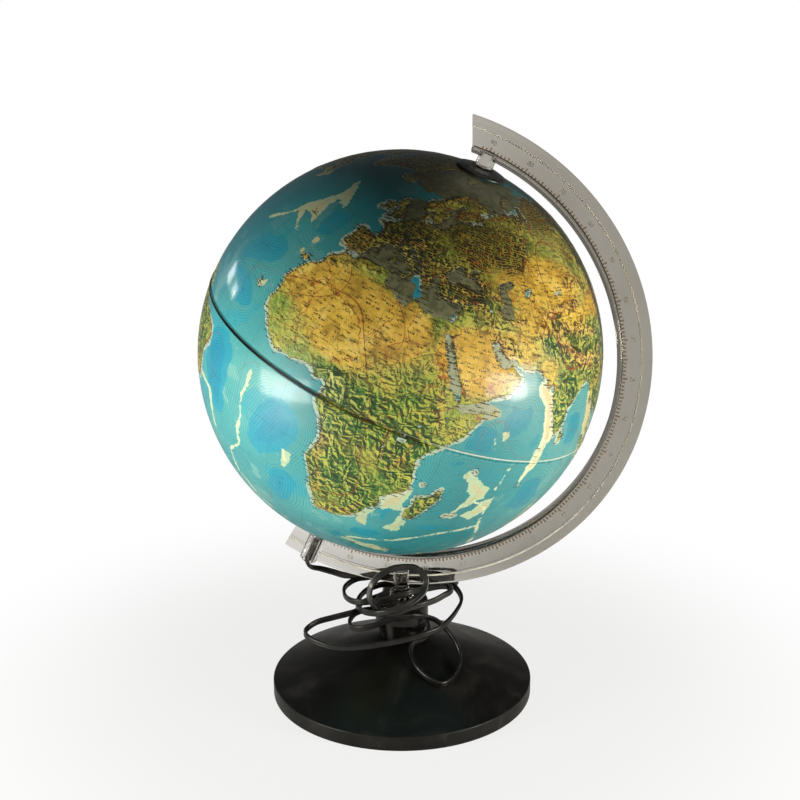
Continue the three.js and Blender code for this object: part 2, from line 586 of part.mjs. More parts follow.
// ---------- the mains lead ----------
const leadPoints = [
  [-75.2, 0, 101.8], [-75.8, 1, 98.2], [-73.2, 2.8, 94.6], [-66.5, 5, 92.8],
  [-56.5, 6, 90.5], [-46, 6, 88.5], [-27, 13, 88.5], [-10, 20, 87], [8, 24, 86],
  [22, 27.5, 84], [33, 26, 80.5], [40, 22, 77], [45, 12, 73.5], [43, 1, 69],
  [39, -12, 66], [33.5, -23, 64], [25.5, -31, 63], [16, -36.5, 61], [0.5, -43.5, 59],
  [-16, -49.5, 57], [-36, -52, 55], [-54, -50, 56.5], [-64.5, -44, 58.5], [-68, -33, 58],
  [-62.5, -24, 60.5], [-51, -17, 62.5], [-41.5, -12, 64], [-35.5, -5, 64], [-33.5, 6, 66],
  [-24.5, 20, 66], [-10, 30.5, 69], [4, 33, 72.5], [16, 31.5, 74.5], [26, 31.5, 75],
  [33, 34.5, 75], [36, 41, 75.5], [33, 47.5, 76.5], [25, 51, 77], [10, 49.5, 78],
  [-5, 43, 79.5], [-16, 34.5, 81], [-25, 27, 81.5], [-33, 22, 81], [-39, 16, 82],
  [-44, 7, 81.5], [-45.5, -2, 80.5], [-43, -9, 78], [-35, -18, 78.5], [-27.5, -21, 79.5],
  [-18, -20, 80.5], [-9.5, -19, 82], [0.5, -16, 85], [8.5, -12, 87], [12.2, -6.2, 86],
  [16, 1, 84.5], [20.5, 9, 82.5], [28, 13, 83], [32.5, 15, 82.5], [37.5, 10, 83.5],
  [38, 1, 84.5], [34, -6, 84], [29.5, -11, 82.5], [21.5, -21, 82.5], [13.5, -27, 81.5],
  [5.5, -31, 79], [-2, -32, 77], [-9, -31, 77.5], [-15, -29, 81], [-18.5, -28, 86],
  [-19, -27, 91.5], [-17.5, -26.5, 97], [-13.5, -25, 102.5], [-8, -23.5, 107], [-1, -22, 110.5],
  [8, -21, 112], [15, -20, 111.5], [20.5, -20, 107.5], [23.5, -20.5, 103], [23.5, -22, 98],
  [22, -26, 94], [17.5, -32, 90.5], [9.5, -38, 87], [1.5, -40.5, 84], [-7, -40, 81],
  [-18.5, -34, 77.5], [-26.5, -25, 75], [-32.5, -13, 73], [-33.5, -1, 74], [-30, 11, 75.5],
  [-19.5, 21.5, 76.5], [-6, 25, 75], [4, 26, 69.5], [9, 24, 62], [11, 21.5, 55],
  [18, 12.5, 50.5], [21.6, 0.5, 50], [20.5, -12.5, 50.5], [14.5, -21.5, 50.5], [13, -26.5, 47],
  [15, -32.5, 43.5], [21.5, -40.5, 38], [31, -46, 33.5], [40.5, -46.5, 30.5], [47, -38, 31],
  [50, -26, 34], [50, -17, 39.5], [46.5, -12, 46], [41.5, -9, 52], [35.5, -6, 57],
  [28.8, -4.8, 62], [22, -12.5, 68], [12.8, -21.5, 72], [-1.5, -24.8, 70], [-14, -28, 65],
  [-25.5, -29, 61.5], [-33.5, -25, 59.5], [-38, -15.5, 58.5], [-39, -6.5, 58.5], [-37.5, 1, 59],
  [-33, 10, 58], [-25, 20, 55], [-14.5, 26, 51.5], [-9, 30.5, 49],
];

function behindStem(distance, height) {
  const place = BACK.clone().normalize().multiplyScalar(distance);
  place.z = height;
  return place;
}

// A tube of round section along a smooth curve through the given points.
function lead(points, steps) {
  const path = new THREE.CatmullRomCurve3(points, false, 'centripetal');
  const section = new THREE.Shape();
  for (let i = 0; i < 8; i += 1) {
    const angle = (i * Math.PI) / 4;
    const corner = new THREE.Vector2(LEAD_RADIUS * Math.cos(angle), LEAD_RADIUS * Math.sin(angle));
    if (i === 0) section.moveTo(corner.x, corner.y);
    else section.lineTo(corner.x, corner.y);
  }
  return new THREE.ExtrudeGeometry(section, { steps, bevelEnabled: false, extrudePath: path });
}

// The switch lies on the base's slope: its local X runs down the slope, away from the stem.
function switchPlacement() {
  const slope = Math.atan(CONE_SLOPE);
  const away = BACK.clone().normalize().multiplyScalar(Math.cos(slope));
  away.z = -Math.sin(slope);
  const side = new THREE.Vector3().crossVectors(new THREE.Vector3(0, 0, 1), away).normalize();
  const top = new THREE.Vector3().crossVectors(away, side);
  const rest = behindStem(SWITCH_START, coneHeight(SWITCH_START));
  rest.addScaledVector(top, SWITCH_LIFT);
  return new THREE.Matrix4().makeBasis(away, side, top).setPosition(rest);
}

function stadium(length, width) {
  const r = width / 2;
  const shape = new THREE.Shape();
  shape.moveTo(r, -r);
  shape.lineTo(length - r, -r);
  shape.absarc(length - r, 0, r, -Math.PI / 2, Math.PI / 2, false);
  shape.lineTo(r, r);
  shape.absarc(r, 0, r, Math.PI / 2, (3 * Math.PI) / 2, false);
  return shape;
}

function slab(shape, low, high, curveSegments = 8) {
  return new THREE.ExtrudeGeometry(shape, { depth: high - low, bevelEnabled: false, curveSegments })
    .translate(0, 0, low);
}

function inset(shapeLength, shapeWidth, wall) {
  return stadium(shapeLength - 2 * wall, shapeWidth - 2 * wall);
}

const switchMiddle = SWITCH_LENGTH / 2;
const switchScrewPlaces = [switchMiddle - SWITCH_SCREW_OFFSET, switchMiddle + SWITCH_SCREW_OFFSET];

function switchBase() {
  const half = SWITCH_HEIGHT / 2 - GAP / 2;
  const body = slab(stadium(SWITCH_LENGTH, SWITCH_WIDTH), 0, half);
  const hollow = slab(inset(SWITCH_LENGTH, SWITCH_WIDTH, SWITCH_WALL), SWITCH_WALL, half + 1)
    .translate(SWITCH_WALL, 0, 0);
  const posts = switchScrewPlaces.map((x) => rod(SWITCH_POST_RADIUS, SWITCH_WALL - 0.5, half, 16)
    .translate(x, 0, 0));
  const holes = switchScrewPlaces.flatMap((x) => [
    rod(SWITCH_SCREW_RADIUS + GAP, -1, half + 1, 12).translate(x, 0, 0),
    rod(SWITCH_SCREW_HEAD_RADIUS + GAP, -1, SWITCH_SCREW_HEAD_HEIGHT + GAP, 16).translate(x, 0, 0),
  ]);
  return cut(joined(cut(body, hollow), ...posts), ...holes);
}

function switchCover() {
  const low = SWITCH_HEIGHT / 2 + GAP / 2;
  const body = slab(stadium(SWITCH_LENGTH, SWITCH_WIDTH), low, SWITCH_HEIGHT);
  const hollow = slab(inset(SWITCH_LENGTH, SWITCH_WIDTH, SWITCH_WALL), low - 1,
    SWITCH_HEIGHT - SWITCH_WALL).translate(SWITCH_WALL, 0, 0);
  const posts = switchScrewPlaces.map((x) => rod(SWITCH_POST_RADIUS, low, SWITCH_HEIGHT - 0.5, 16)
    .translate(x, 0, 0));
  const wellLength = ROCKER_LENGTH + 2 * ROCKER_CLEARANCE + 2 * SWITCH_WALL;
  const wellWidth = ROCKER_WIDTH + 2 * ROCKER_CLEARANCE + 2 * SWITCH_WALL;
  const well = new THREE.BoxGeometry(wellLength, wellWidth, SWITCH_HEIGHT - low - 0.5)
    .translate(switchMiddle, 0, (SWITCH_HEIGHT - 0.5 + low) / 2);
  const window = new THREE.BoxGeometry(ROCKER_LENGTH + 2 * ROCKER_CLEARANCE,
    ROCKER_WIDTH + 2 * ROCKER_CLEARANCE, SWITCH_HEIGHT).translate(switchMiddle, 0, SWITCH_HEIGHT);
  const pinHole = rod(ROCKER_PIN_RADIUS + GAP, -wellWidth / 2 - 1, wellWidth / 2 + 1, 12)
    .rotateX(Math.PI / 2).translate(switchMiddle, 0, rockerPinHeight());
  const holes = switchScrewPlaces.map((x) => rod(SWITCH_SCREW_RADIUS + GAP, low - 1,
    SWITCH_HEIGHT - SWITCH_WALL, 12).translate(x, 0, 0));
  return cut(joined(cut(body, hollow), ...posts, well), window, pinHole, ...holes);
}

function rockerPinHeight() {
  return SWITCH_HEIGHT - ROCKER_DROP / 2 - 0.4;
}

function rocker() {
  const half = ROCKER_LENGTH / 2;
  const outline = new THREE.Shape([
    new THREE.Vector2(-half, ROCKER_RISE), new THREE.Vector2(-half, -ROCKER_DROP / 2),
    new THREE.Vector2(-half * 0.4, -ROCKER_DROP), new THREE.Vector2(half * 0.4, -ROCKER_DROP),
    new THREE.Vector2(half, -ROCKER_DROP / 2), new THREE.Vector2(half, ROCKER_RISE),
    new THREE.Vector2(0, ROCKER_RISE - 0.9),
  ]);
  const body = new THREE.ExtrudeGeometry(outline, { depth: ROCKER_WIDTH, bevelEnabled: false })
    .rotateX(Math.PI / 2).translate(0, ROCKER_WIDTH / 2, SWITCH_HEIGHT - rockerPinHeight());
  const bore = rod(ROCKER_PIN_RADIUS + GAP, -ROCKER_WIDTH, ROCKER_WIDTH, 12).rotateX(Math.PI / 2);
  return cut(body, bore).rotateY(ROCKER_TILT).translate(switchMiddle, 0, rockerPinHeight());
}

function rockerPin() {
  const half = ROCKER_WIDTH / 2 + ROCKER_CLEARANCE + SWITCH_WALL;
  return rod(ROCKER_PIN_RADIUS, -half, half, 12).rotateX(Math.PI / 2)
    .translate(switchMiddle, 0, rockerPinHeight());
}

function switchScrew(x) {
  const head = SWITCH_SCREW_HEAD_HEIGHT;
  return turned([[0, 0.3], [SWITCH_SCREW_HEAD_RADIUS, 0.3], [SWITCH_SCREW_HEAD_RADIUS, head],
    [SWITCH_SCREW_RADIUS, head], [SWITCH_SCREW_RADIUS, SWITCH_HEIGHT - SWITCH_WALL - 1.5],
    [0, SWITCH_HEIGHT - SWITCH_WALL - 1]], 16).translate(x, 0, 0);
}

function inlineSwitch() {
  const group = new THREE.Group();
  group.applyMatrix4(switchPlacement());
  group.add(
    piece('switch_base', switchBase(), look.blackPlastic),
    piece('switch_cover', switchCover(), look.blackPlastic),
    piece('switch_rocker', rocker(), look.whitePlastic),
    piece('rocker_pin', rockerPin(), look.steel),
    piece('switch_screw_1', switchScrew(switchScrewPlaces[0]), look.steel),
    piece('switch_screw_2', switchScrew(switchScrewPlaces[1]), look.steel),
  );
  return group;
}

// The plug lies on the table behind the base: its local X points along its pins.
function plugBody() {
  const half = PLUG_WIDTH / 2;
  const neck = PLUG_NECK_WIDTH / 2;
  const outline = new THREE.Shape([
    new THREE.Vector2(0, -neck), new THREE.Vector2(PLUG_LENGTH * 0.55, -half),
    new THREE.Vector2(PLUG_LENGTH, -half), new THREE.Vector2(PLUG_LENGTH, half),
    new THREE.Vector2(PLUG_LENGTH * 0.55, half), new THREE.Vector2(0, neck),
  ]);
  const body = slab(outline, -PLUG_THICKNESS / 2, PLUG_THICKNESS / 2);
  const relief = turned([[0, 0], [PLUG_NECK_WIDTH / 2 - 0.3, 0], [LEAD_RADIUS + 1, PLUG_RELIEF_LENGTH],
    [0, PLUG_RELIEF_LENGTH]], 16).rotateY(-Math.PI / 2).translate(0.5, 0, 0);
  const bores = [-1, 1].map((sign) => rod(PIN_RADIUS + GAP, PLUG_LENGTH - PIN_SEAT - GAP,
    PLUG_LENGTH + 1, 16).rotateY(Math.PI / 2).translate(0, (sign * PIN_SPACING) / 2, 0));
  return cut(joined(body, relief), ...bores);
}

function plugPin(sign) {
  const start = PLUG_LENGTH - PIN_SEAT;
  const end = PLUG_LENGTH + PIN_LENGTH;
  return turned([[0, start], [PIN_RADIUS, start], [PIN_RADIUS, end - 1.5], [PIN_RADIUS * 0.5, end],
    [0, end]], 16).rotateY(Math.PI / 2).translate(0, (sign * PIN_SPACING) / 2, 0);
}

function plug() {
  const group = new THREE.Group();
  group.position.copy(behindStem(PLUG_RELIEF_START + PLUG_RELIEF_LENGTH, PLUG_THICKNESS / 2 + 0.2));
  group.rotation.z = Math.atan2(BACK.y, BACK.x);
  group.add(
    piece('plug_body', plugBody(), look.blackPlastic),
    piece('plug_pin_left', plugPin(1), look.brass),
    piece('plug_pin_right', plugPin(-1), look.brass),
  );
  return group;
}

function lampSideLead() {
  const end = new THREE.Vector3(-GAP, 0, SWITCH_HEIGHT / 2).applyMatrix4(switchPlacement());
  const before = new THREE.Vector3(-4.5, 0, SWITCH_HEIGHT / 2).applyMatrix4(switchPlacement());
  const points = leadPoints.map(([x, y, z]) => new THREE.Vector3(x, y, z));
  return lead([...points, before, end], 77);
}

function plugSideLead() {
  const middle = SWITCH_HEIGHT / 2;
  const out = (reach) => new THREE.Vector3(SWITCH_LENGTH + reach, 0, middle)
    .applyMatrix4(switchPlacement());
  const plugHeight = PLUG_THICKNESS / 2 + 0.2;
  return lead([
    out(GAP), out(6), behindStem(BASE_RADIUS - 6, 21), behindStem(BASE_RADIUS + 1, 16.5),
    behindStem(BASE_RADIUS + 6, 9.5), behindStem(PLUG_RELIEF_START - 1.5, plugHeight + 0.3),
    behindStem(PLUG_RELIEF_START - GAP + 0.5, plugHeight),
  ], 5);
}

const object = new THREE.Group();
object.add(
  onAxis(globe(), lamp()),
  stand(),
  piece('lead_lamp_side', lampSideLead(), look.rubber),
  piece('lead_plug_side', plugSideLead(), look.rubber),
  inlineSwitch(),
  plug(),
);

export default object;
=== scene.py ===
"""A desk globe with a lamp inside: relief ball, clear meridian arm and foot, black weighted base, flat mains flex."""

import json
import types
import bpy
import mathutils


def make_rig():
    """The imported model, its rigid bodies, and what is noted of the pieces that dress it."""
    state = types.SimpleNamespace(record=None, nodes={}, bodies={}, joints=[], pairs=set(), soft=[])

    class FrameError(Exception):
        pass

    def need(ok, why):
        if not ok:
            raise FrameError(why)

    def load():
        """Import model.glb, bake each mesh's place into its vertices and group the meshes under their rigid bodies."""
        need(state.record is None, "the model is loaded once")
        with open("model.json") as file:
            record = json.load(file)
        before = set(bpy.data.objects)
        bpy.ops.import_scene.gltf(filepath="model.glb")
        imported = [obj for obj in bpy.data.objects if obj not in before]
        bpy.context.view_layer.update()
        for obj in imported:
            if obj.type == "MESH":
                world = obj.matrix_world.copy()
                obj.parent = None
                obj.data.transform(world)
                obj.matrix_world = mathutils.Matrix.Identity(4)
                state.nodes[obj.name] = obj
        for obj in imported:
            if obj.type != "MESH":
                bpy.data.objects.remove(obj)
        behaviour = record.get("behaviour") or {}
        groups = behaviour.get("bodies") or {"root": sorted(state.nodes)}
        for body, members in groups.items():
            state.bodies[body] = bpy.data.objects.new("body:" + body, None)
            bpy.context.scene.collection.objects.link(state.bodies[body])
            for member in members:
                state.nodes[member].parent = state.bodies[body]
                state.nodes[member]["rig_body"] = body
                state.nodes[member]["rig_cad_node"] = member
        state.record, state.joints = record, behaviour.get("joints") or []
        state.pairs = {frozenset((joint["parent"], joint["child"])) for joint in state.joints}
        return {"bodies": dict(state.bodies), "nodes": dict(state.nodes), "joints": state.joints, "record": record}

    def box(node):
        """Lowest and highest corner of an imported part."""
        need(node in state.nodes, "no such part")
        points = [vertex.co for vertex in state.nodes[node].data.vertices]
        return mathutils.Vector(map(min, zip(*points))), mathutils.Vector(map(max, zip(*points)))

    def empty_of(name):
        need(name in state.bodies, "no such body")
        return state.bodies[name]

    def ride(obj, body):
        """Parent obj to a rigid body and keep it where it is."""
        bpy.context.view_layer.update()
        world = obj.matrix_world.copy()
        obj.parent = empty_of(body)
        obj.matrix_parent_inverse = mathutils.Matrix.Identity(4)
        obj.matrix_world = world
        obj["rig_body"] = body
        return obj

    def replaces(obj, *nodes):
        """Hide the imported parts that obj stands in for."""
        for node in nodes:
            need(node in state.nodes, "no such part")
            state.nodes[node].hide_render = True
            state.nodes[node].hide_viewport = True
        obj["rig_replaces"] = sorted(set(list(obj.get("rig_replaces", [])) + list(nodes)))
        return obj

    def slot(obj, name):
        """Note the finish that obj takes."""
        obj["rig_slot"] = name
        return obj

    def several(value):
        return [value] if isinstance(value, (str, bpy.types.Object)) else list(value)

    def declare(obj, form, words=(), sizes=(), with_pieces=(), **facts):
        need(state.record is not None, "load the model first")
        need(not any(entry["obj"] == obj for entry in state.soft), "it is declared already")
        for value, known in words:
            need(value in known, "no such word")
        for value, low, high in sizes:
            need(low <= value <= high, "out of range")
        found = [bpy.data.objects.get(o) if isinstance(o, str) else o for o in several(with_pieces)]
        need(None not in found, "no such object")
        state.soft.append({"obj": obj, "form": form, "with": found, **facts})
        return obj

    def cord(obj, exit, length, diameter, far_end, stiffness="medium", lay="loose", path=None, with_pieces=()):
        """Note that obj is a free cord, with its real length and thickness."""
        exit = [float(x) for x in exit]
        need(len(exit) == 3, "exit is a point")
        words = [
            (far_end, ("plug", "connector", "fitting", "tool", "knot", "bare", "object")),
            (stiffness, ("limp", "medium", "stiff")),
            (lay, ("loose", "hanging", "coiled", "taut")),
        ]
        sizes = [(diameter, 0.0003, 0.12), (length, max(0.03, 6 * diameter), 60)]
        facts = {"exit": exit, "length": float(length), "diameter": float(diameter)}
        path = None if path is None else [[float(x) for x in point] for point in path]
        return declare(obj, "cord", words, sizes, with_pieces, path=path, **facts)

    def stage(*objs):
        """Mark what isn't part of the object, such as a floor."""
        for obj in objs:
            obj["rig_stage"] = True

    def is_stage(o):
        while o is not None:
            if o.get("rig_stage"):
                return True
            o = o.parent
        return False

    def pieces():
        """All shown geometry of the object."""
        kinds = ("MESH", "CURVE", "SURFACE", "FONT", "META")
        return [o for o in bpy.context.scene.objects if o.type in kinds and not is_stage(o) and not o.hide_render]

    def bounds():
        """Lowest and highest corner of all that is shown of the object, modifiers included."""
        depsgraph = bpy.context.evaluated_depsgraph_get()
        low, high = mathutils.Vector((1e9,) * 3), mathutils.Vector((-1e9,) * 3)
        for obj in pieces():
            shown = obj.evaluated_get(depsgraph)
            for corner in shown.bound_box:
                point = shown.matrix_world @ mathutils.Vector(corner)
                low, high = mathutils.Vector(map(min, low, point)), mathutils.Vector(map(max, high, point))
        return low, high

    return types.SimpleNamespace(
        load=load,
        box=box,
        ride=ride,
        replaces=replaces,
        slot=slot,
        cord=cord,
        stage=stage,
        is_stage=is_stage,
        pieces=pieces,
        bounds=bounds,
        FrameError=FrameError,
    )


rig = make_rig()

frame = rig.load()
CAD_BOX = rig.bounds()

import json
import math

import bmesh
import bpy
import numpy as np
from bpy.props import FloatProperty, FloatVectorProperty, IntProperty, PointerProperty
from mathutils import Matrix, Vector, kdtree

bl_info = {
    "name": "Desk Globe",
    "version": (1, 0, 0),
    "blender": (4, 5, 0),
    "location": "3D View > Sidebar > Desk Globe",
    "description": "Makes a lit relief globe on a clear arm with its base, flex, switch and plug",
    "category": "Object",
}

MM = 0.001
SPIN = next(joint for joint in frame["joints"] if joint["name"] == "globe_spin")
CENTRE = Vector(SPIN["pos_m"])
AXIS = Vector(SPIN["axis"]).normalized()
TILT = math.atan2(AXIS.x, AXIS.z)
ON_AXIS = Matrix.Translation(CENTRE) @ Matrix.Rotation(TILT, 4, "Y")
STEM_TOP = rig.box("stem")[1][2]
BALL_RADIUS = 0.15
BACKWARDS = Vector((-0.218, 0.976, 0)).normalized()    # way that the switch and plug lie from the stem

# the base's cone in millimetres, which the switch lies on
CONE_TOP, CONE_INNER = 45.3, 17.5
RIM_TOP, RIM_RADIUS = 12.2, 100.8

# the switch and plug
SWITCH_LENGTH, SWITCH_WIDTH = 0.046, 0.021
ENTRY_HEIGHT = 0.0075    # height at which the flex enters the switch
ROCKER_PLACE = 0.023     # distance of the rocker from the switch's near end
PIN_SPREAD = 0.0093      # distance of each pin from the plug's middle
PLUG_DISTANCE, PLUG_HEIGHT = 132, 7.0


def length(name, description, default, **more):
    return FloatProperty(name=name, description=description, default=default, unit="LENGTH", precision=5, **more)


def angle(name, description, degrees):
    return FloatProperty(name=name, description=description, default=math.radians(degrees), unit="ROTATION")


def colour(name, description, code):
    return FloatVectorProperty(name=name, description=description, default=tint(code)[:3], subtype="COLOR", size=3)


def tint(code):
    """A colour written as six hex digits, as the renderer's linear values."""
    parts = [int(code[i:i + 2], 16) / 255 for i in (0, 2, 4)]
    return tuple(p / 12.92 if p <= 0.04045 else ((p + 0.055) / 1.055) ** 2.4 for p in parts) + (1.0,)


# ---------- sizes and colours ----------
class GlobeSizes(bpy.types.PropertyGroup):
    skin_radius: length("Skin Radius", "Radius of the sea's surface on the ball", 0.14938)
    relief: length("Relief", "Height of the tallest mountains above the sea", 0.00052)
    wall: length("Wall", "Thickness of each half's wall", 0.0025)
    pole_hole: length("Pole Hole", "Radius of the hole at each pole", 0.009)
    tape_width: length("Tape Width", "Width of the tape over the seam", 0.0032)
    tape_radius: length("Tape Radius", "Outside radius of the tape", 0.1499)
    columns: IntProperty(name="Columns", description="Mesh columns round each half", default=640)
    rows: IntProperty(name="Rows", description="Mesh rows from the seam to the pole", default=136)
    prime_turn: angle("Prime Turn", "Longitude that faces straight forwards at rest", 18.75)
    cap_radius: length("Cap Radius", "Radius of each pole cap", 0.019)
    cap_top: length("Cap Top", "Distance of the cap's hub from the centre", 0.1536)


class StandSizes(bpy.types.PropertyGroup):
    arm_inner: length("Arm Inner Radius", "Inner edge of the arm's flange", 0.1605)
    arm_outer: length("Arm Outer Radius", "Outer edge of the arm's rim", 0.1853)
    flange_depth: length("Flange Depth", "Radial depth of the inner flange", 0.003)
    flange_width: length("Flange Width", "Width of the inner flange", 0.012)
    web: length("Web Thickness", "Thickness of the arm's web", 0.0032)
    rim_depth: length("Rim Depth", "Radial depth of the outer rim", 0.008)
    rim_thickness: length("Rim Thickness", "Thickness of the outer rim", 0.005)
    past_pole: angle("Past The Pole", "How far the arm runs on past the north pivot", 6.8)
    past_lead: angle("Past The Lead", "How far the arm runs on past the south pivot", 6.5)
    boss_radius: length("Boss Radius", "Radius of the bosses at the poles", 0.0067)
    flutes: IntProperty(name="Flutes", description="Flutes round the clear foot", default=12)
    stem_bevel: length("Stem Bevel", "Rounding of the stem's top edge", 0.0034)
    base_bevel: length("Base Bevel", "Rounding of the base's rim", 0.0012)


class FlexSizes(bpy.types.PropertyGroup):
    width: length("Flex Width", "Width of the flat twin flex", 0.005)
    thickness: length("Flex Thickness", "Thickness of each core", 0.0025)
    groove: length("Groove", "Half thickness at the groove between the cores", 0.00075)


class StageSizes(bpy.types.PropertyGroup):
    azimuth: angle("Camera Azimuth", "Direction of the camera round the globe", 12.6)
    elevation: angle("Camera Elevation", "Height of the camera above the horizon", 16.0)
    roll: angle("Camera Roll", "Roll of the camera", -0.27)
    distance: length("Camera Distance", "Distance of the camera from the ball's centre", 1.2)
    floor: length("Floor Radius", "Radius of the floor", 14.0)


class Finishes(bpy.types.PropertyGroup):
    gloss_black: colour("Gloss Black", "Colour of the stem and base", "0B0A0A")
    cap_black: colour("Cap Black", "Colour of the pole caps", "100F0E")
    flex_black: colour("Flex Black", "Colour of the flex", "0E0D0D")
    clear: colour("Clear Plastic", "Tint of the arm and foot", "9C978C")
    felt: colour("Felt", "Colour of the pad under the base", "1B1B1C")


def rgba(values):
    return (*values, 1.0)


# ---------- nodes ----------
def join(tree, socket, value):
    """Links an output to an input, or sets the input's own value."""
    if isinstance(value, bpy.types.NodeSocket):
        tree.links.new(value, socket)
    else:
        socket.default_value = value


def add_node(tree, kind, inputs=(), **settings):
    node = tree.nodes.new(kind)
    for key, value in settings.items():
        setattr(node, key, value)
    for key, value in dict(inputs).items():
        join(tree, node.inputs[key], value)
    return node


class Finish:
    """A node material on one Principled surface."""

    def __init__(self, name, **surface):
        self.material = bpy.data.materials.new(name)
        self.material.use_nodes = True
        self.tree = self.material.node_tree
        self.surface = self.tree.nodes["Principled BSDF"]
        for key, value in surface.items():
            self.set(key.replace("_", " ").title().replace("Ior", "IOR"), value)

    def set(self, socket, value):
        join(self.tree, self.surface.inputs[socket], value)

    def done(self, shade, roughness, normal):
        """Gives the surface its colour, roughness and bumps, and returns the material."""
        self.set("Base Color", shade)
        self.set("Roughness", roughness)
        self.set("Normal", normal)
        return self.material

    def node(self, kind, inputs=(), **settings):
        return add_node(self.tree, "ShaderNode" + kind, inputs, **settings)

    def place(self, location=(0, 0, 0), rotation=(0, 0, 0), scale=(1, 1, 1)):
        """Object coordinates, as seen from a piece's own frame."""
        inputs = {"Vector": self.node("TexCoord").outputs["Object"], "Location": location, "Rotation": rotation,
                  "Scale": scale}
        return self.node("Mapping", inputs, vector_type="TEXTURE").outputs[0]

    def attribute(self, name):
        return self.node("Attribute", attribute_name=name).outputs["Fac"]

    def calc(self, operation, first, second=0.0, third=0.0):
        return self.node("Math", {0: first, 1: second, 2: third}, operation=operation).outputs[0]

    def times(self, first, *others):
        for other in others:
            first = self.calc("MULTIPLY", first, other)
        return first

    def most(self, first, second):
        return self.calc("MAXIMUM", first, second)

    def summed(self, start, *terms):
        """A value with others added to it, each by its own weight."""
        for value, weight in terms:
            start = self.calc("MULTIPLY_ADD", value, weight, start)
        return start

    def fit(self, value, low, high, to_low=0.0, to_high=1.0):
        inputs = {"Value": value, "From Min": low, "From Max": high, "To Min": to_low, "To Max": to_high}
        return self.node("MapRange", inputs, interpolation_type="SMOOTHSTEP").outputs[0]

    def vector(self, x, y):
        return self.node("CombineXYZ", {0: x, 1: y}).outputs[0]

    def moved(self, place, shift):
        return self.node("VectorMath", {0: place, 1: shift}, operation="ADD").outputs[0]

    def noise(self, place, scale, detail=2.0, roughness=0.5, distortion=0.0, **settings):
        inputs = {"Vector": place, "Scale": scale, "Detail": detail, "Roughness": roughness,
                  "Distortion": distortion}
        return self.node("TexNoise", inputs, **settings).outputs["Fac"]

    def cells(self, place, scale, feature="F1"):
        return self.node("TexVoronoi", {"Vector": place, "Scale": scale}, feature=feature).outputs["Distance"]

    def ramp(self, value, stops):
        """A colour ramp from (position, hex colour) stops."""
        node = self.node("ValToRGB", {0: value})
        ramp = node.color_ramp
        while len(ramp.elements) < len(stops):
            ramp.elements.new(0.5)
        for element, (position, code) in zip(ramp.elements, stops):
            element.position = position
            element.color = tint(code)
        return node.outputs["Color"]

    def mix(self, factor, first, second):
        first, second = (tint(shade) if isinstance(shade, str) else shade for shade in (first, second))
        return self.node("Mix", {0: factor, 6: first, 7: second}, data_type="RGBA").outputs[2]

    def layers(self, shade, *rows):
        """Lays colours over a colour: each where its value passes from low to high, by its share."""
        for value, low, high, share, colour_over in rows:
            shade = self.mix(self.fit(value, low, high, 0, share), shade, colour_over)
        return shade

    def bump(self, height, strength, distance):
        return self.node("Bump", {"Height": height, "Strength": strength, "Distance": distance}).outputs[0]


# ---------- mesh helpers ----------
def add_object(name, data):
    piece = bpy.data.objects.new(name, data)
    bpy.context.scene.collection.objects.link(piece)
    return piece


def make(name, points, faces, finish=None, smooth=True):
    mesh = bpy.data.meshes.new(name)
    mesh.from_pydata([tuple(p) for p in points], [], faces)
    mesh.validate()
    piece = add_object(name, mesh)
    if smooth:
        mesh.shade_smooth()
    if finish is not None:
        mesh.materials.append(finish)
    return piece


def evaluated(piece):
    """A new mesh of the piece's shape with its modifiers applied."""
    bpy.context.view_layer.update()
    return bpy.data.meshes.new_from_object(piece.evaluated_get(bpy.context.evaluated_depsgraph_get()))


def settle(piece, body, slot, replaced=(), crease=None):
    """Turns a piece's modifiers into mesh, sharpens its creases and hands it to the frame."""
    bpy.context.view_layer.update()
    if piece.modifiers:
        done = evaluated(piece)
        done.name = piece.name
        piece.modifiers.clear()
        piece.data = done
    if crease is not None:
        soften(piece, crease)
    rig.ride(piece, body)
    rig.slot(piece, slot)
    if replaced:
        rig.replaces(piece, *replaced)


def soften(piece, degrees):
    """Smooth shading that stays sharp over edges steeper than an angle."""
    mesh = piece.data
    mesh.shade_smooth()
    shape = bmesh.new()
    shape.from_mesh(mesh)
    for edge in shape.edges:
        edge.smooth = len(edge.link_faces) != 2 or edge.calc_face_angle(0.0) < math.radians(degrees)
    shape.to_mesh(mesh)
    shape.free()


def outwards(piece):
    """Welds a piece's doubled points and turns its faces outwards."""
    shape = bmesh.new()
    shape.from_mesh(piece.data)
    bmesh.ops.remove_doubles(shape, verts=shape.verts, dist=1e-7)
    bmesh.ops.recalc_face_normals(shape, faces=shape.faces)
    shape.to_mesh(piece.data)
    shape.free()
    return piece


def tube_faces(rows, count):
    """Quads between rows of points, then a face over the first row and one over the last."""
    quads = [(i * count + k, i * count + (k + 1) % count, (i + 1) * count + (k + 1) % count, (i + 1) * count + k)
             for i in range(rows - 1) for k in range(count)]
    return quads + [tuple(range(count)), tuple(range((rows - 1) * count, rows * count))]


def turned(name, profile, steps, finish, place=Matrix(), ripple=None):
    """A closed outline of (radius, height) turned round the Z axis; ripple changes a radius by its angle."""
    points, rings = [], []
    for radius, height in profile:
        if radius < 1e-9:
            rings.append([len(points)] * steps)
            points.append((0, 0, height))
            continue
        rings.append(list(range(len(points), len(points) + steps)))
        for i in range(steps):
            a = 2 * math.pi * i / steps
            r = ripple(radius, height, a) if ripple else radius
            points.append((r * math.cos(a), r * math.sin(a), height))
    faces = []
    for k in range(len(rings)):
        low, high = rings[k], rings[(k + 1) % len(rings)]
        for i in range(steps):
            j = (i + 1) % steps
            face = list(dict.fromkeys((low[i], low[j], high[j], high[i])))
            if len(face) > 2:
                faces.append(face)
    piece = make(name, [place @ Vector(p) for p in points], faces, finish)
    return outwards(piece)


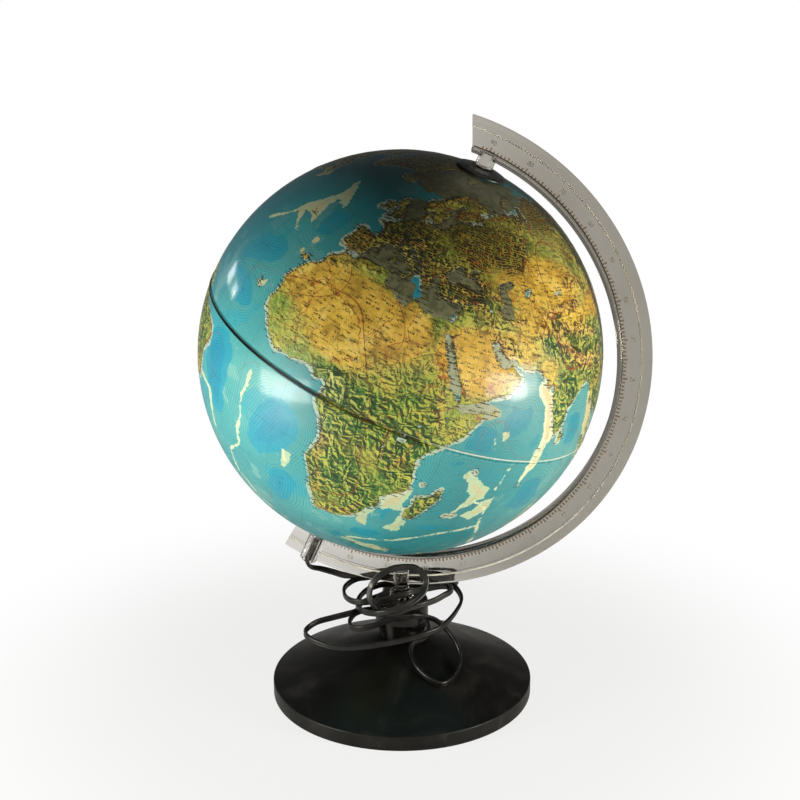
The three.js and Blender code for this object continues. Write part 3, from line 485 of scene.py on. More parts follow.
def rounded(corners, radii, steps=5):
    """An outline with its corners rounded: all by one radius, or each by its own, and then none on the axis."""
    out = []
    count = len(corners)
    own = isinstance(radii, list)
    for i, corner in enumerate(corners):
        radius = radii[i] if own else radii
        here = Vector(corner)
        before = Vector(corners[i - 1]) - here
        after = Vector(corners[(i + 1) % count]) - here
        if radius <= 0 or own and here.x < 1e-9:
            out.append(tuple(here))
            continue
        half = before.angle(after) / 2
        back = min(radius / math.tan(half), before.length * 0.49, after.length * 0.49)
        start = here + before.normalized() * back
        end = here + after.normalized() * back
        for k in range(steps + 1):
            t = k / steps
            out.append(tuple(start.lerp(here, t).lerp(here.lerp(end, t), t)))
    return out


def carve(piece, tool, operation="DIFFERENCE"):
    """Cuts a closed tool away from a piece, or joins it on."""
    change = piece.modifiers.new("Change", "BOOLEAN")
    change.operation = operation
    change.solver = "EXACT"
    change.object = tool
    done = evaluated(piece)
    piece.modifiers.remove(change)
    piece.data = done
    bpy.data.objects.remove(tool)


def dress(node, finish):
    """Gives a CAD solid that keeps its shape a finish of its own."""
    mesh = frame["nodes"][node].data
    mesh.materials.clear()
    mesh.materials.append(finish)


def through(points, per_span):
    """A smooth curve through the points, with tangents spaced by the square root of each gap."""
    pts = [Vector(p) for p in points]
    pts = [pts[0] * 2 - pts[1]] + pts + [pts[-1] * 2 - pts[-2]]
    out = []
    for a, b, c, d in zip(pts, pts[1:], pts[2:], pts[3:]):
        da, db, dc = (max((q - p).length ** 0.5, 1e-6) for p, q in ((a, b), (b, c), (c, d)))
        m = ((b - a) / da - (c - a) / (da + db) + (c - b) / db) * db
        n = ((c - b) / db - (d - b) / (db + dc) + (d - c) / dc) * db
        for k in range(per_span):
            t = k / per_span
            out.append(b * (2 * t ** 3 - 3 * t ** 2 + 1) + m * (t ** 3 - 2 * t ** 2 + t)
                       + c * (3 * t ** 2 - 2 * t ** 3) + n * (t ** 3 - t ** 2))
    out.append(pts[-2])
    return out


def evenly(line, gap):
    """The same line as points a fixed distance apart, and its length."""
    total = sum((q - p).length for p, q in zip(line, line[1:]))
    count = max(2, round(total / gap))
    out, walked, i = [line[0]], 0.0, 0
    for k in range(1, count):
        goal = total * k / count
        while walked + (line[i + 1] - line[i]).length < goal:
            walked += (line[i + 1] - line[i]).length
            i += 1
        out.append(line[i].lerp(line[i + 1], (goal - walked) / (line[i + 1] - line[i]).length))
    return out + [line[-1]], total


def flex_section(sizes, steps=9):
    """Outline of the twin flex across its width: two round cores with a groove between."""
    r, shift = sizes.thickness / 2, (sizes.width - sizes.thickness) / 2
    reach = math.acos(min(1, sizes.groove / r))
    side = []
    for sign in (1, -1):
        for k in range(steps):
            a = (-math.pi / 2 - reach * 0.55) + (math.pi + reach * 1.1) * k / (steps - 1)
            side.append((sign * (shift + r * math.cos(a)), sign * r * math.sin(a)))
    return side


def sweep_flex(name, line, sizes, finish, lean=0.12):
    """The flat flex along a line, its width turning slowly towards upright."""
    tangents = [(q - p).normalized() for p, q in zip(line, line[1:])]
    tangents.append(tangents[-1])
    up = Vector((0, 0, 1))
    width = up - tangents[0] * up.dot(tangents[0])
    width = width.normalized() if width.length > 0.1 else tangents[0].orthogonal().normalized()
    widths = []
    for tangent in tangents:
        width = (width - tangent * width.dot(tangent)).normalized()
        upright = up - tangent * up.dot(tangent)
        if upright.dot(width) < 0:
            upright.negate()
        width = (width + upright * lean * upright.length).normalized()
        width = (width - tangent * width.dot(tangent)).normalized()
        widths.append(width)
    for _ in range(6):
        middle = [(a + b * 2 + c).normalized() for a, b, c in zip(widths, widths[1:], widths[2:])]
        widths = [widths[0]] + middle + [widths[-1]]
    section = flex_section(sizes)
    points = []
    for centre, tangent, width in zip(line, tangents, widths):
        width = (width - tangent * width.dot(tangent)).normalized()
        flat = tangent.cross(width)
        points += [centre + width * u + flat * v for u, v in section]
    piece = outwards(make(name, points, tube_faces(len(line), len(section)), finish))
    soften(piece, 50)
    return piece


# ---------- the map: outlines as longitude,latitude in degrees ----------
LAND = """
-5.9,35.8 -5.2,35.6 -3.9,35.2 -2.9,35.3 -2,35.1 -0.6,35.8 1,36.5 3,36.9 5.1,36.8 7.8,37 9.9,37.3 10.3,36.8 11.1,37 \
10.5,36.3 10.7,35.7 11.1,35.3 10.6,34.5 10.1,33.9 11,33.7 11.5,33.1 13.2,32.9 15.2,32.4 15.4,31.6 16.7,31.2 \
18,30.8 19.2,30.3 20,31 20,32.2 21.7,32.9 23.1,32.6 24,32 25.2,31.5 27.2,31.3 29,30.8 30,31.3 31,31.6 32.3,31.3 \
34.3,31.3 36,31 35,29.5 34.4,28.3 34.2,27.8 33.7,28.2 33.2,28.9 32.7,29.7 32.5,29.9 32.4,29.6 32.8,28.9 33.3,28.1 \
33.9,27.2 34.3,26.1 35.5,24.2 35.6,23 36.9,22 37.2,21 37.3,19.6 38.6,18 39.5,15.6 40.8,14.7 42.7,13 43.3,12.4 \
43.1,11.6 42.6,11.5 43.3,11.4 45,10.4 47,11.1 49,11.3 51.2,11.8 51.1,10.5 50.8,9.4 49.8,8 48.9,6.3 48,4.5 46.5,3 \
45.3,2 44,1.1 42.5,-0.4 41.5,-1.7 40.9,-2.3 40.1,-3.2 39.6,-4.1 39.1,-5.1 38.8,-6.2 39.4,-6.9 39.5,-8.5 39.8,-10 \
40.5,-10.6 40.6,-13 40.8,-14.7 39.9,-16.2 37,-17.9 36.3,-18.9 34.9,-19.9 34.7,-20.5 35.4,-21.5 35.5,-23.9 \
34.6,-24.8 32.8,-25.9 32.9,-26.8 32.1,-28.8 31.1,-29.9 29.5,-31.6 28,-33 25.7,-34 22.1,-34.1 20,-34.8 18.4,-34.3 \
18.3,-33.9 17.9,-33 18.3,-31.9 17.2,-30 16.5,-28.6 15.1,-26.7 14.5,-23 13.4,-20.8 11.8,-18 11.8,-17.3 12.1,-15.2 \
13.4,-12.6 13.8,-11 13.2,-8.9 12.3,-6.1 11.8,-4.8 10,-3 8.8,-0.7 9.4,0.4 9.8,1.1 9.7,2.3 9.9,3 9.5,3.9 9,4.4 \
8.3,4.6 7,4.4 6,4.3 5.2,5.4 4.4,6.3 2.4,6.3 1,5.9 -0.2,5.5 -2.1,4.8 -4,5.2 -5.5,5.1 -7.6,4.4 -9.9,5.8 -10.8,6.3 \
-11.5,6.9 -13.2,8.5 -13.7,9.5 -14.8,10.9 -15.8,11.8 -16.7,12.4 -16.8,13.4 -17.5,14.7 -16.5,16 -16.2,18.5 \
-16.3,19.5 -17,20.9 -16.1,23.6 -14.5,26.2 -13.2,27.7 -12.9,27.9 -11,28.8 -10.1,29.4 -9.7,30.4 -9.8,31.5 -9.3,32.5 \
-7.6,33.6 -6.8,34 -6.2,35.2
-5.4,36.1 -6.3,36.6 -7.4,37.2 -9,37 -9.3,38.7 -8.8,40.2 -8.7,41.2 -8.9,42.2 -9.2,43 -8.2,43.5 -7.7,43.8 -5.6,43.6 \
-3.8,43.5 -1.8,43.4 -1.3,44.6 -1.1,45.6 -1.3,46.2 -2.2,47.2 -2.9,47.5 -4.4,47.9 -4.7,48.5 -3.8,48.7 -2,48.6 \
-1.8,49.7 -0.3,49.3 .2,49.6 1.1,50 1.8,51 2.9,51.3 4,52 4.8,52.9 7,53.5 8.1,53.6 8.8,54 8.9,54.5 8.2,55.5 8.1,56.7 \
10.6,57.7 10.4,57 10.9,56.4 10.4,56.1 9.8,55.5 10.1,54.4 11.1,54.4 12.2,54.2 13.5,54.6 14.3,53.9 15.6,54.2 \
18.5,54.7 19.4,54.4 20,54.9 21.1,55.7 21,56.6 21.6,57.4 22.6,57.8 24,57 24.4,58.3 23.5,58.8 24.7,59.5 28,59.5 \
30,59.9 28.7,60.6 25,60.2 23,59.9 22,60.4 21.5,61.5 21.3,63 23.5,64.2 25.3,65 24.2,65.8 22.3,65.6 21,64.5 \
20.5,63.7 18,62.6 17.3,61.5 17.3,60.7 18.9,59.9 18,58.9 16.8,58.6 16.4,56.7 15.6,56.1 14.3,55.4 12.9,55.5 \
12.6,56.2 11.8,57.7 11.2,58.9 10.6,59.5 10,59 8,58.1 7,58 5.6,58.8 5,60.4 5.1,62.1 6.2,62.6 7.8,63.2 9.6,63.8 \
11.3,64.9 12.4,66 14.2,67.3 16,68.6 19,69.8 22,70.3 25.8,71.1 28.5,71 31,70.3 30,69.7 33.5,69.4 38,68.3 41,67.2 \
41.2,66.5 38.5,66.1 35,66.4 32.8,67 34.7,64.9 36.8,65 38,64 40,64.8 40,65.8 42,66.4 44.1,66 43.8,67.2 43.5,68.6 \
46.3,68 46.5,67 47.8,67.7 49,67.9 53,68.7 54.5,68.4 59,68.9 60.6,69.8 65,69.2 67,69 66.8,70.8 69,72.8 72.8,72.8 \
72.6,71 72.5,69 73.7,67.5 74.8,68.3 74,70 74.8,72 75.3,72.9 78,72.4 80.5,73.6 82.5,71 83,72 81,73.5 87,75 95,76.1 \
100,76.5 104.3,77.7 107,76.6 112,76 113.5,74 107,73.1 110,74 113.3,73.6 119,73 123.5,73 127,73.5 129.5,71.2 \
132.5,71.8 137,71.5 140,72.8 146,72.4 150,71.6 153,71 161,69.6 164,69.8 170,69.6 170.5,68.9 176,69.8 180,69 \
185,67.5 190,66.1 186.5,64.4 182,65.4 178,64.6 179.3,62.3 174,61.8 170.3,59.9 166,60 163.3,58 163,56.1 161.7,55 \
160,53 158.5,52.8 156.7,51 155.6,54 155.8,56.8 158.5,58.5 161.9,60.3 164,62.3 160,61.7 157,61.7 154.5,59.6 \
150.8,59.5 145,59.4 143.2,59.3 139,57.3 135.5,54.9 137.5,53.7 141.2,53 140.4,50.5 140.2,48.6 138,46.3 135.5,44.3 \
132,43.2 130.6,42.4 129.8,41.5 127.5,39.5 129.4,37 129,35.2 126.4,34.5 126.5,36.8 125,38 125.3,39.5 121.6,38.9 \
122,40.6 118.9,39.1 117.7,38.9 119,37.3 120.8,37.8 122.6,37.3 120.3,36 119.3,35 120.5,33.5 121.9,31.8 120.7,30.3 \
122,29.8 121.5,28.3 119.7,26.2 118.1,24.5 116.7,23.3 114.2,22.3 112,21.8 110.5,21.2 110.3,20.3 109.7,20.4 \
109.6,21.5 108,21.6 106.7,20.6 105.7,19 107.7,16.4 108.9,15 109.3,11.8 107.3,10.5 106.7,9.8 104.8,8.6 105,10 \
103.6,10.6 102.5,12 100.9,13.4 100.1,13.4 99.3,11 99.9,9.3 100.5,7.3 102.2,6.2 103.4,4.5 104.1,1.4 103.6,1.3 \
101.4,2.8 100.4,5.3 98.3,8 98.6,10 98.6,12.5 97.7,15 97.5,16.5 95.5,15.8 94.3,15.9 94.5,18 93,20 91.8,22.3 \
90.5,22.3 89,21.8 87.2,21.5 86.8,20.3 85,19.4 83.3,17.7 82.3,16.6 80.9,15.9 80.1,14.5 80.3,13.1 79.8,10.4 79.1,9.3 \
77.5,8.1 76.2,9.9 75.7,11.3 73.9,15.4 72.8,19 72.7,21 72.4,22.2 71.1,20.7 69,22.3 70.3,22.9 68.7,23.6 66.9,24.8 \
66.4,25.4 63,25.2 61.5,25.1 58.8,25.5 57.8,25.7 57,27 56.5,27.1 54.5,26.6 52.6,27.5 51,28.8 50.2,30 48.6,30 \
48,29.4 48.8,27.8 50.1,26.6 50.6,25.5 51.2,26.1 51.6,25 51.4,24.4 54,24.2 55.4,25.3 56.4,26.3 56.4,25 58.6,23.6 \
59.8,22.5 58.7,20.4 57.7,18.9 56.3,17.9 54,17 52.2,16 49.2,14.5 45,12.8 43.5,12.7 43.2,13.3 42.9,14.8 42.6,16.9 \
41,19 39.2,21.5 38,24 37.2,25 35.6,27.5 34.6,28.1 35,29.5 34.6,30.5 34.3,31.3 35,32.8 35.5,33.9 35.8,35.6 \
36.1,36.7 34.6,36.8 32.8,36.1 30.7,36.9 30.4,36.3 28.2,36.7 27.4,37 26.6,38.4 26.2,39.5 26.2,40.1 26,40.8 \
24.4,40.9 24,40.2 23.4,40 22.9,40.5 22.6,39.9 23.2,39.2 24.1,38.2 24,37.7 23,37.9 23.1,37.3 23.1,36.5 22.4,36.5 \
21.7,36.8 21.2,37.7 21.4,38.2 20.8,38.9 20.1,39.6 19.4,40.4 19.4,41.3 18.1,42.6 16.4,43.5 15.1,44.2 14.5,45.3 \
13.8,44.8 13.7,45.7 12.4,45.4 12.5,44.9 12.6,44 13.6,43.6 14.2,42.5 16.2,41.9 15.9,41.5 16.9,41.1 18,40.6 \
18.4,39.8 17.2,40.5 16.6,39.8 17.2,39 16.5,38.4 15.7,37.9 15.9,38.8 15.7,40 14.8,40.6 14.2,40.8 13.1,41.2 \
12.2,41.8 10.5,42.9 10.3,43.5 9.8,44 8.9,44.4 7.8,43.8 7.2,43.6 6,43.1 5.3,43.3 4,43.5 3.1,43.1 3.1,42.4 2.2,41.4 \
.8,40.7 -0.3,39.5 .2,38.7 -0.5,38.3 -0.9,37.6 -2.4,36.8 -4.4,36.7
-5.7,50.1 -3.5,50.3 -1.3,50.7 1.4,51.2 .8,51.5 1.7,52.6 .3,52.9 0,53.6 -1.5,55 -2,55.9 -3.2,56 -2,57.6 -4,57.6 \
-3,58.6 -5,58.6 -5.7,57.4 -6.2,56.6 -5.5,55.4 -4.8,54.7 -3.2,54.9 -2.9,53.9 -3.1,53.4 -4.6,53.3 -4.2,52.4 \
-5.2,51.8 -3.2,51.4 -4.2,51.2 -5,50.5
-6,53.5 -6.2,52.3 -9.8,51.6 -10.3,52.2 -9,53.2 -10,54.2 -8.5,54.4 -8.3,55.2 -6.5,55.2 -5.6,54.6
-22.5,63.9 -18.9,63.4 -15,64.3 -13.6,65.1 -14.7,66.3 -16.3,66.5 -18.2,66.1 -20.4,65.9 -22.5,66.4 -24.3,65.6 \
-22,65.3 -24,64.9 -22,64.4
13.5,78.2 16.8,76.7 21.5,78.3 27,80 18,80.1 12,79.7
51.5,71.5 55.2,70.6 57.6,70.7 56,72.5 60,75 68.5,76.9 64,76.9 58,75.8 54.5,74
11,55.7 12.5,56.1 12.3,55.1 11.2,55.2
12.5,37.8 15.6,38.3 15.1,36.7 13.5,37.2
8.4,39 8.2,40.6 9.3,41.2 9.7,40.1 9.5,39.2
9.2,41.4 8.6,42.2 9.4,43 9.5,42
23.6,35.5 24.8,35.4 26.3,35.2 24.7,34.9
32.3,35 33.6,35.3 34.5,35.7 34,35 33,34.6
2.5,39.6 3.1,39.9 3.4,39.7 3,39.3
49.3,-12 49.9,-13.2 50.5,-15.4 49.7,-15.5 49.8,-16.8 49.4,-18.2 48.3,-21 47.4,-23.8 47.1,-25 45.2,-25.6 44,-25 \
43.6,-23.4 43.3,-21.9 44.5,-20 44.2,-18.5 44,-17.4 44.5,-16.2 46.3,-15.8 47.8,-14.6 48.3,-13.4 48.9,-12.4
79.9,9.6 80.8,9.3 81.8,7.6 81,6.2 80.1,6 79.8,8
109,1.5 109.6,2 111.3,2.6 113,3.3 115,5 116.8,7 119.2,5.3 117.8,4 117.8,2 119,1 117.5,.5 116.5,-1.8 116.2,-3.8 \
114.6,-4.1 111.8,-3.4 110.2,-2.8 110,-1.3 109.1,0
95.3,5.6 97.5,5.2 99.8,3.2 101.7,2.1 103.8,-1 106,-3 105.8,-5.8 104.5,-5.8 102.2,-4 100.3,-1 98.8,1.6 97,3.3
105.2,-6.8 106.8,-6.1 108.5,-6.7 110.7,-6.5 112.7,-7 114.4,-7.8 114.5,-8.7 111,-8.2 108,-7.7 106.4,-7.4
119.4,-5.5 119.5,-3.5 119.8,0 120.8,1.3 124.8,1.5 123,.6 120.3,.5 120.8,-.9 123.3,-.9 121.5,-2 122.5,-4.5 \
121.5,-4.8 121,-2.8 120.4,-3 120.4,-5.6
131,-.8 134,-.8 134.5,-3 137.8,-1.6 141,-2.6 144.5,-3.9 147.8,-6 147,-6.8 148.5,-8.9 150.8,-10.5 147.5,-10 \
144.5,-7.7 142.7,-9.2 139,-8.1 138,-5.8 135,-4.4 133,-4 132,-2.8 134,-2.4
120.6,18.5 122.2,18.4 121.7,15.8 124,12.7 120.6,13.8 120,16
122,7.8 124,8.3 126.3,8.6 126.2,6.3 124,6 122,7
122.5,11.5 124.8,12.3 125.3,10.5 123,9.8
120.1,23 121.6,25.2 121,22
108.7,19.3 110.5,20.1 111,19.6 109.5,18.2
130,31.3 131.5,31.6 131.8,33.5 130.5,33.9 129.7,33
131,34 132.6,35.4 136,35.7 137,37.3 139,38 140,39.8 140.8,41.4 141.5,41.3 142,39.5 141,38.2 140.8,35.7 139.8,35 \
138.5,34.7 137,34.6 135.8,33.5 135,34.6 133,34.3
140,41.5 141.2,41.8 143.2,42 145.5,43.3 144.3,44 141.7,45.4 141.5,43.4 140.2,42.8
132.4,33.3 134.5,34.2 134,33.3 133,32.8
142,46 143.5,46.9 142.8,49 144.3,49.2 143.2,51.8 142.7,54.3 142,53.4 142,50
113.7,-22.6 114.2,-21.9 116.8,-20.6 119,-20 121.5,-19 122.2,-17.5 123.5,-17.3 125,-14.8 126.8,-14 128.2,-15 \
129.6,-14.9 130.8,-12.4 132.6,-11.4 135.5,-12.1 136.8,-12.2 135.8,-15 138,-16.6 139.5,-17.5 141,-16.8 141.6,-13.5 \
142.5,-10.8 143.6,-14 145.3,-15 146.2,-18.8 148.5,-20.2 150.8,-23.2 153.1,-25.4 153.5,-28.5 152.5,-32.3 \
151.2,-33.9 150,-37 147.5,-38 146.3,-39 144.7,-38.2 143.5,-38.8 140.5,-38 139.6,-36.3 138.1,-35.6 138,-33.5 \
136,-34.8 134.2,-32.9 131.2,-31.5 129,-31.7 125.8,-32.4 123.7,-33.9 120,-33.9 118,-35 115.1,-34.3 115.7,-32 \
114.8,-29.2 113.7,-26.2 113.5,-24.2
144.7,-40.8 148.3,-40.9 148,-43 146.6,-43.6 145.3,-42.5
172.9,-34.5 174.8,-36.5 178.4,-37.7 177,-39.4 176.5,-40.8 175.2,-41.6 174.9,-40 173.8,-39.3 174.8,-38
172.8,-40.6 174.3,-41.5 173,-43.2 171.2,-44.4 170.7,-46 168.4,-46.6 166.5,-46 168.3,-44 171.2,-42.4
-168,65.6 -166.5,68.3 -163,69.3 -156.6,71.3 -150,70.5 -141,69.6 -135,69.3 -129,70 -125,70 -121,69.7 -115,68.8 \
-114,68 -108.5,68 -102,67.8 -97.5,68.2 -95.8,68 -94.5,72 -91.5,69.7 -88,68.5 -85.5,69.5 -82,69.5 -81.3,68 -83,66.2 \
-86,66.3 -88,64.3 -91,63.5 -94.5,61 -94.7,59 -92.5,57 -88,56.5 -82.3,55.2 -82.3,53 -80,51.3 -78.8,52.4 -79,54.6 \
-76.7,57 -78.4,58.9 -77.5,62.5 -74,62.3 -70,61 -69.5,59 -67,58.5 -64.7,60.3 -62.5,58.2 -60,55.2 -57,53.5 \
-55.7,52.2 -60,50.2 -66.5,50.2 -70,47 -65,49 -64.3,48.8 -65.2,47.2 -64.2,46.2 -61.3,45.6 -60,46.2 -63.5,44.6 \
-66,43.6 -65.8,44.7 -64.8,45.5 -67,44.8 -70,43.7 -70.8,42.7 -70,41.8 -74,40.6 -75.2,38.7 -76,37 -75.6,35.2 \
-77.5,34.3 -79.3,33 -81,31.9 -81.4,30 -80,27 -80.3,25.3 -81.1,25.2 -82.8,27.8 -82.8,29 -84,30 -86,30.3 -89,30.3 \
-89.3,29.1 -91.5,29.4 -94.7,29.4 -97.2,27.7 -97.3,25.8 -97.8,22.3 -96,19.1 -94.5,18.2 -92,18.6 -90.6,19.8 -90.3,21 \
-87,21.5 -87.5,19 -88.3,18.4 -88.8,15.9 -86,15.8 -83.2,15 -83.6,12.5 -83.6,11 -82,9 -79.8,9.5 -77.4,8.7 -77.9,7.2 \
-80,7.4 -80.3,8.3 -83,8.3 -85.6,10 -87.6,13 -91.5,14 -94.8,16.2 -98.5,16.4 -102,18 -105.5,20 -105.5,22.8 -108,25 \
-109.5,26.7 -112.5,29.5 -114.7,31.7 -113.5,29 -111,26 -109.5,23.1 -112,24.8 -112.2,26 -115,28 -115.8,30.3 \
-117.2,32.6 -118.5,34 -120.6,34.6 -122,36.8 -122.6,37.8 -124.3,40.4 -124,43.5 -124,46.2 -124.7,48.4 -122.5,47.5 \
-123,49 -127,50.8 -129,52.8 -130.5,55 -133.5,57 -136.5,58.3 -140,59.8 -144,60 -148,60 -151.8,59.2 -151.5,61.2 \
-154,59.2 -157,57.6 -160.5,55.6 -164.8,54.6 -161,56 -157.5,58.8 -162,58.7 -165,60.5 -166,61.7 -163,63.2 -161,64.5 \
-166,64.5
-77.4,8.7 -75.6,10.6 -74.3,11.2 -71.7,12.4 -71.5,10.8 -70,12 -68,10.6 -64,10.3 -62,10.7 -60,8.5 -57.2,6 -54,5.8 \
-51.5,4.4 -50,1.8 -50,0 -48.5,-.9 -44.5,-2.5 -41.5,-2.9 -38.5,-3.7 -35.4,-5.2 -34.8,-7.2 -35.2,-9.3 -37,-11.2 \
-38.5,-13 -39,-15.5 -39.3,-18 -40.3,-20.3 -41,-22 -43.2,-23 -46.3,-24 -48.5,-25.9 -48.7,-28.4 -51.2,-31.5 \
-53.4,-33.8 -56.2,-34.9 -58.4,-34 -57.2,-35.5 -56.7,-36.6 -57.6,-38.1 -62.2,-38.9 -62.3,-40.7 -65,-41 -64,-42.5 \
-65.5,-44.5 -67.5,-46 -65.8,-47.8 -69,-50.8 -68.4,-52.4 -65.2,-54.7 -69,-55.5 -73.5,-53.5 -75.5,-50 -75.5,-46.8 \
-73,-44 -73.8,-41 -73.5,-37.3 -71.6,-33 -71.4,-30 -70.5,-25.4 -70.2,-20 -71.4,-17.6 -76.2,-14 -77.2,-12 -79,-8 \
-81.3,-6 -81,-4.2 -80,-3 -81,-2 -80,.8 -78.8,1.8 -77.3,4 -77.5,6.8
-84.8,21.9 -82.5,23.1 -80,23 -77,21.5 -74.2,20.2 -77.7,19.9 -78.5,21 -81.8,22.2
-74.4,18.4 -73,19.9 -70,19.7 -68.4,18.6 -71.5,17.8
-78.3,18.3 -76.3,18.1 -77.3,17.8
-67.2,18.4 -65.7,18.3 -66,18
-59.3,47.7 -57.3,50.7 -55.6,51.5 -56,49.9 -53,48.5 -53.2,46.8 -56,47
-73,78.3 -67,80 -60,82 -45,82.5 -32,83.5 -20,82 -12,81.3 -19,79 -19,76.5 -22,73.5 -24,71 -22,70.3 -27,68.4 \
-33,67.5 -38,65.7 -42,62.5 -44,60 -48,61 -51.5,64 -53.7,67 -51,69.5 -54.5,71 -56,74 -60,76 -68,76
-61.5,66.6 -67,69 -72,71.3 -80,73.6 -89,73 -85,71 -79,70 -73,68.2 -73,65.5 -77.5,64.3 -72,63 -66,62.2 -67,64 -64,63.5
-117,71 -117,69 -105,69 -105,72.8 -110,73
-125,72 -120,71.5 -118,74 -124,74.2
-80,76.3 -90,76.8 -88,79.5 -92,81.3 -70,83 -62,82.3 -72,79.5
-80,75 -92,75.5 -92,76.6 -80,75.8
-85,65.8 -81,63.8 -87,63.6
-128.3,50.7 -123.5,48.4 -125.5,48.6
-180,-78 -160,-78 -150,-77 -140,-75 -125,-73.5 -110,-74.8 -100,-72.5 -90,-73 -78,-73.5 -68,-71 -67,-67.5 -62,-64.5 \
-57.5,-63.3 -60,-66 -62,-70 -61,-75 -50,-78 -36,-78 -28,-75.5 -18,-72.5 -8,-70.8 0,-69.5 15,-69.8 30,-69.3 \
38,-69.8 45,-67.7 55,-66 62,-67.5 70,-68.5 73,-70 78,-69 85,-66.7 95,-66.3 105,-66 115,-66.7 130,-66.2 140,-66.7 \
150,-68.5 160,-70 171,-71.5 168,-75 164,-78 180,-78 180,-90 -180,-90
"""
# small round islands: longitude, latitude and radius in degrees
ISLANDS = """
-15.6,28.2,.8 -16.9,28.2,.5 -24,15.5,.6 -28,38.5,.4 39.4,-6.1,.4 43.4,-11.8,.4 55.5,-21.1,.45 57.6,-20.3,.4 \
53.9,12.5,.6 69.5,-49.3,.8 -59,-51.7,1 -155.5,19.6,.7
178,-18,.6 125,-9,.8 166,-21,.8 149,-3.5,.8 152,-5.5,.8 160,-9.5,.8 50.5,-46.4,.4 37.7,-46.9,.35 73.4,3.5,.3 \
72.4,-7.3,.3 55.5,-4.6,.35 -61,14,.3
"""
# inland water: outlines, then small lakes like the islands
SEAS = """
29.1,41.2 31.5,41.3 33.3,42 35.1,42 36.5,41.3 39.7,41 41.6,41.6 39.8,43.5 37.6,44.7 36.6,45.2 35.4,45 34.2,44.4 \
33.4,44.6 32.5,45.4 33.7,46.1 30.8,46.5 29.7,45.1 28.6,44.1 27.9,43.2 27.6,42.5 28.1,41.6
36.6,45.3 38,46 39.2,47.1 37.5,47 35.3,46.4 34.9,46 35.5,45.3
47,44.8 48,45.8 48.8,46 51,47 53,46.8 53.2,45.3 51.2,44.5 50.3,44.6 51,43.2 52.6,42.3 52.7,41.5 53,40 53.8,39 \
53.8,37 52,36.7 50,37.4 49,38 48.9,38.5 49.4,39.5 50.3,40.4 49,41.3 48,42.3 47.5,43 47.5,43.8
58.3,44.3 58.4,45.6 60,46.3 61.5,46.3 61,44.8 60,43.9 58.8,43.6
-87.5,41.8 -86.5,42.5 -86.4,45 -85,46 -87.8,45
-92,46.8 -88,47.2 -84.8,46.6 -84.5,47.6 -88,48.8
-83.4,42 -82,43.3 -80,44.6 -81.5,46 -84,45.8
-83,41.6 -79,42.7 -79.5,43
"""
LAKES = """
33,-1,1.3 29.2,-3.5,.35 29.5,-5,.35 30,-6.5,.35 30.7,-8.2,.35 34.2,-10,.35 34.4,-11.5,.35 34.6,-13,.35 14,13,.5 \
31.5,60.8,.9 35.5,61.7,.7 37.5,12,.4 36,4,.4 30.8,1.7,.3
104,51.7,.4 106,52.6,.4 108,53.8,.4 109.5,55.3,.4 74.5,45.8,.5 76,46.4,.5 77.8,46.6,.4 -121,66,1.2 -114,61.8,1 \
-98,52,1 -69.3,-16,.5 43,38.6,.45 45.5,37.7,.4
"""
# deep water and pale shoals, as outlines, then ridges as lines with a half width
DEEPS = """
-35,-8 -27,-2 -20,-4 -21,-11 -20,-14 -21,-26 -30,-23 -32,-18
-2,-8 6,-8 8,-12 7,-17 3,-23 -3,-26 -7,-25 -8,-21 -4,-13
4,-28 8,-27 9,-32 8,-41 3,-40 0,-38 1,-35
37,-22 40,-23 40,-29 37,-28
32,-39 42,-35 38,-39
26,-45 33,-42 30,-50
51,9 56,8 57,4 55,1 50,2 50,4
47,-3 53,-1 51,-4
75,-5 83,-5 86,-18 73,-16 74,-12
50,-20 55,-20 52,-21
49,-27 61,-25 54,-29
-41,14 -39,26 -31,27 -22,28 -25,21 -34,19
-41,13 -29,15 -21,10 -29,6 -34,10
-48,-28 -40,-26 -36,-34 -44,-40 -50,-36
-60,24 -52,30 -58,36 -68,34 -70,26
-75,26 -66,20 -62,24 -68,30
-25,42 -14,45 -14,36 -22,34
85,-30 98,-24 110,-18 108,-28 95,-34
100,-40 122,-42 118,-50 104,-50
60,14 67,16 64,8 58,8
84,12 90,14 90,6 85,5
150,30 165,34 178,28 170,16 152,18
-170,34 -150,38 -140,28 -155,22 -172,24
-130,20 -118,12 -122,2 -136,4 -140,12
150,-24 160,-30 158,-38 152,-36
-120,-30 -100,-34 -104,-46 -124,-44
-170,-30 -150,-36 -152,-50 -172,-46
16,35 20,37 19,33 24,34 19,40.2 17,38
4,38 7,40 5,41.5 2,38.4
60,-58 76,-56 72,-62 58,-63
"""
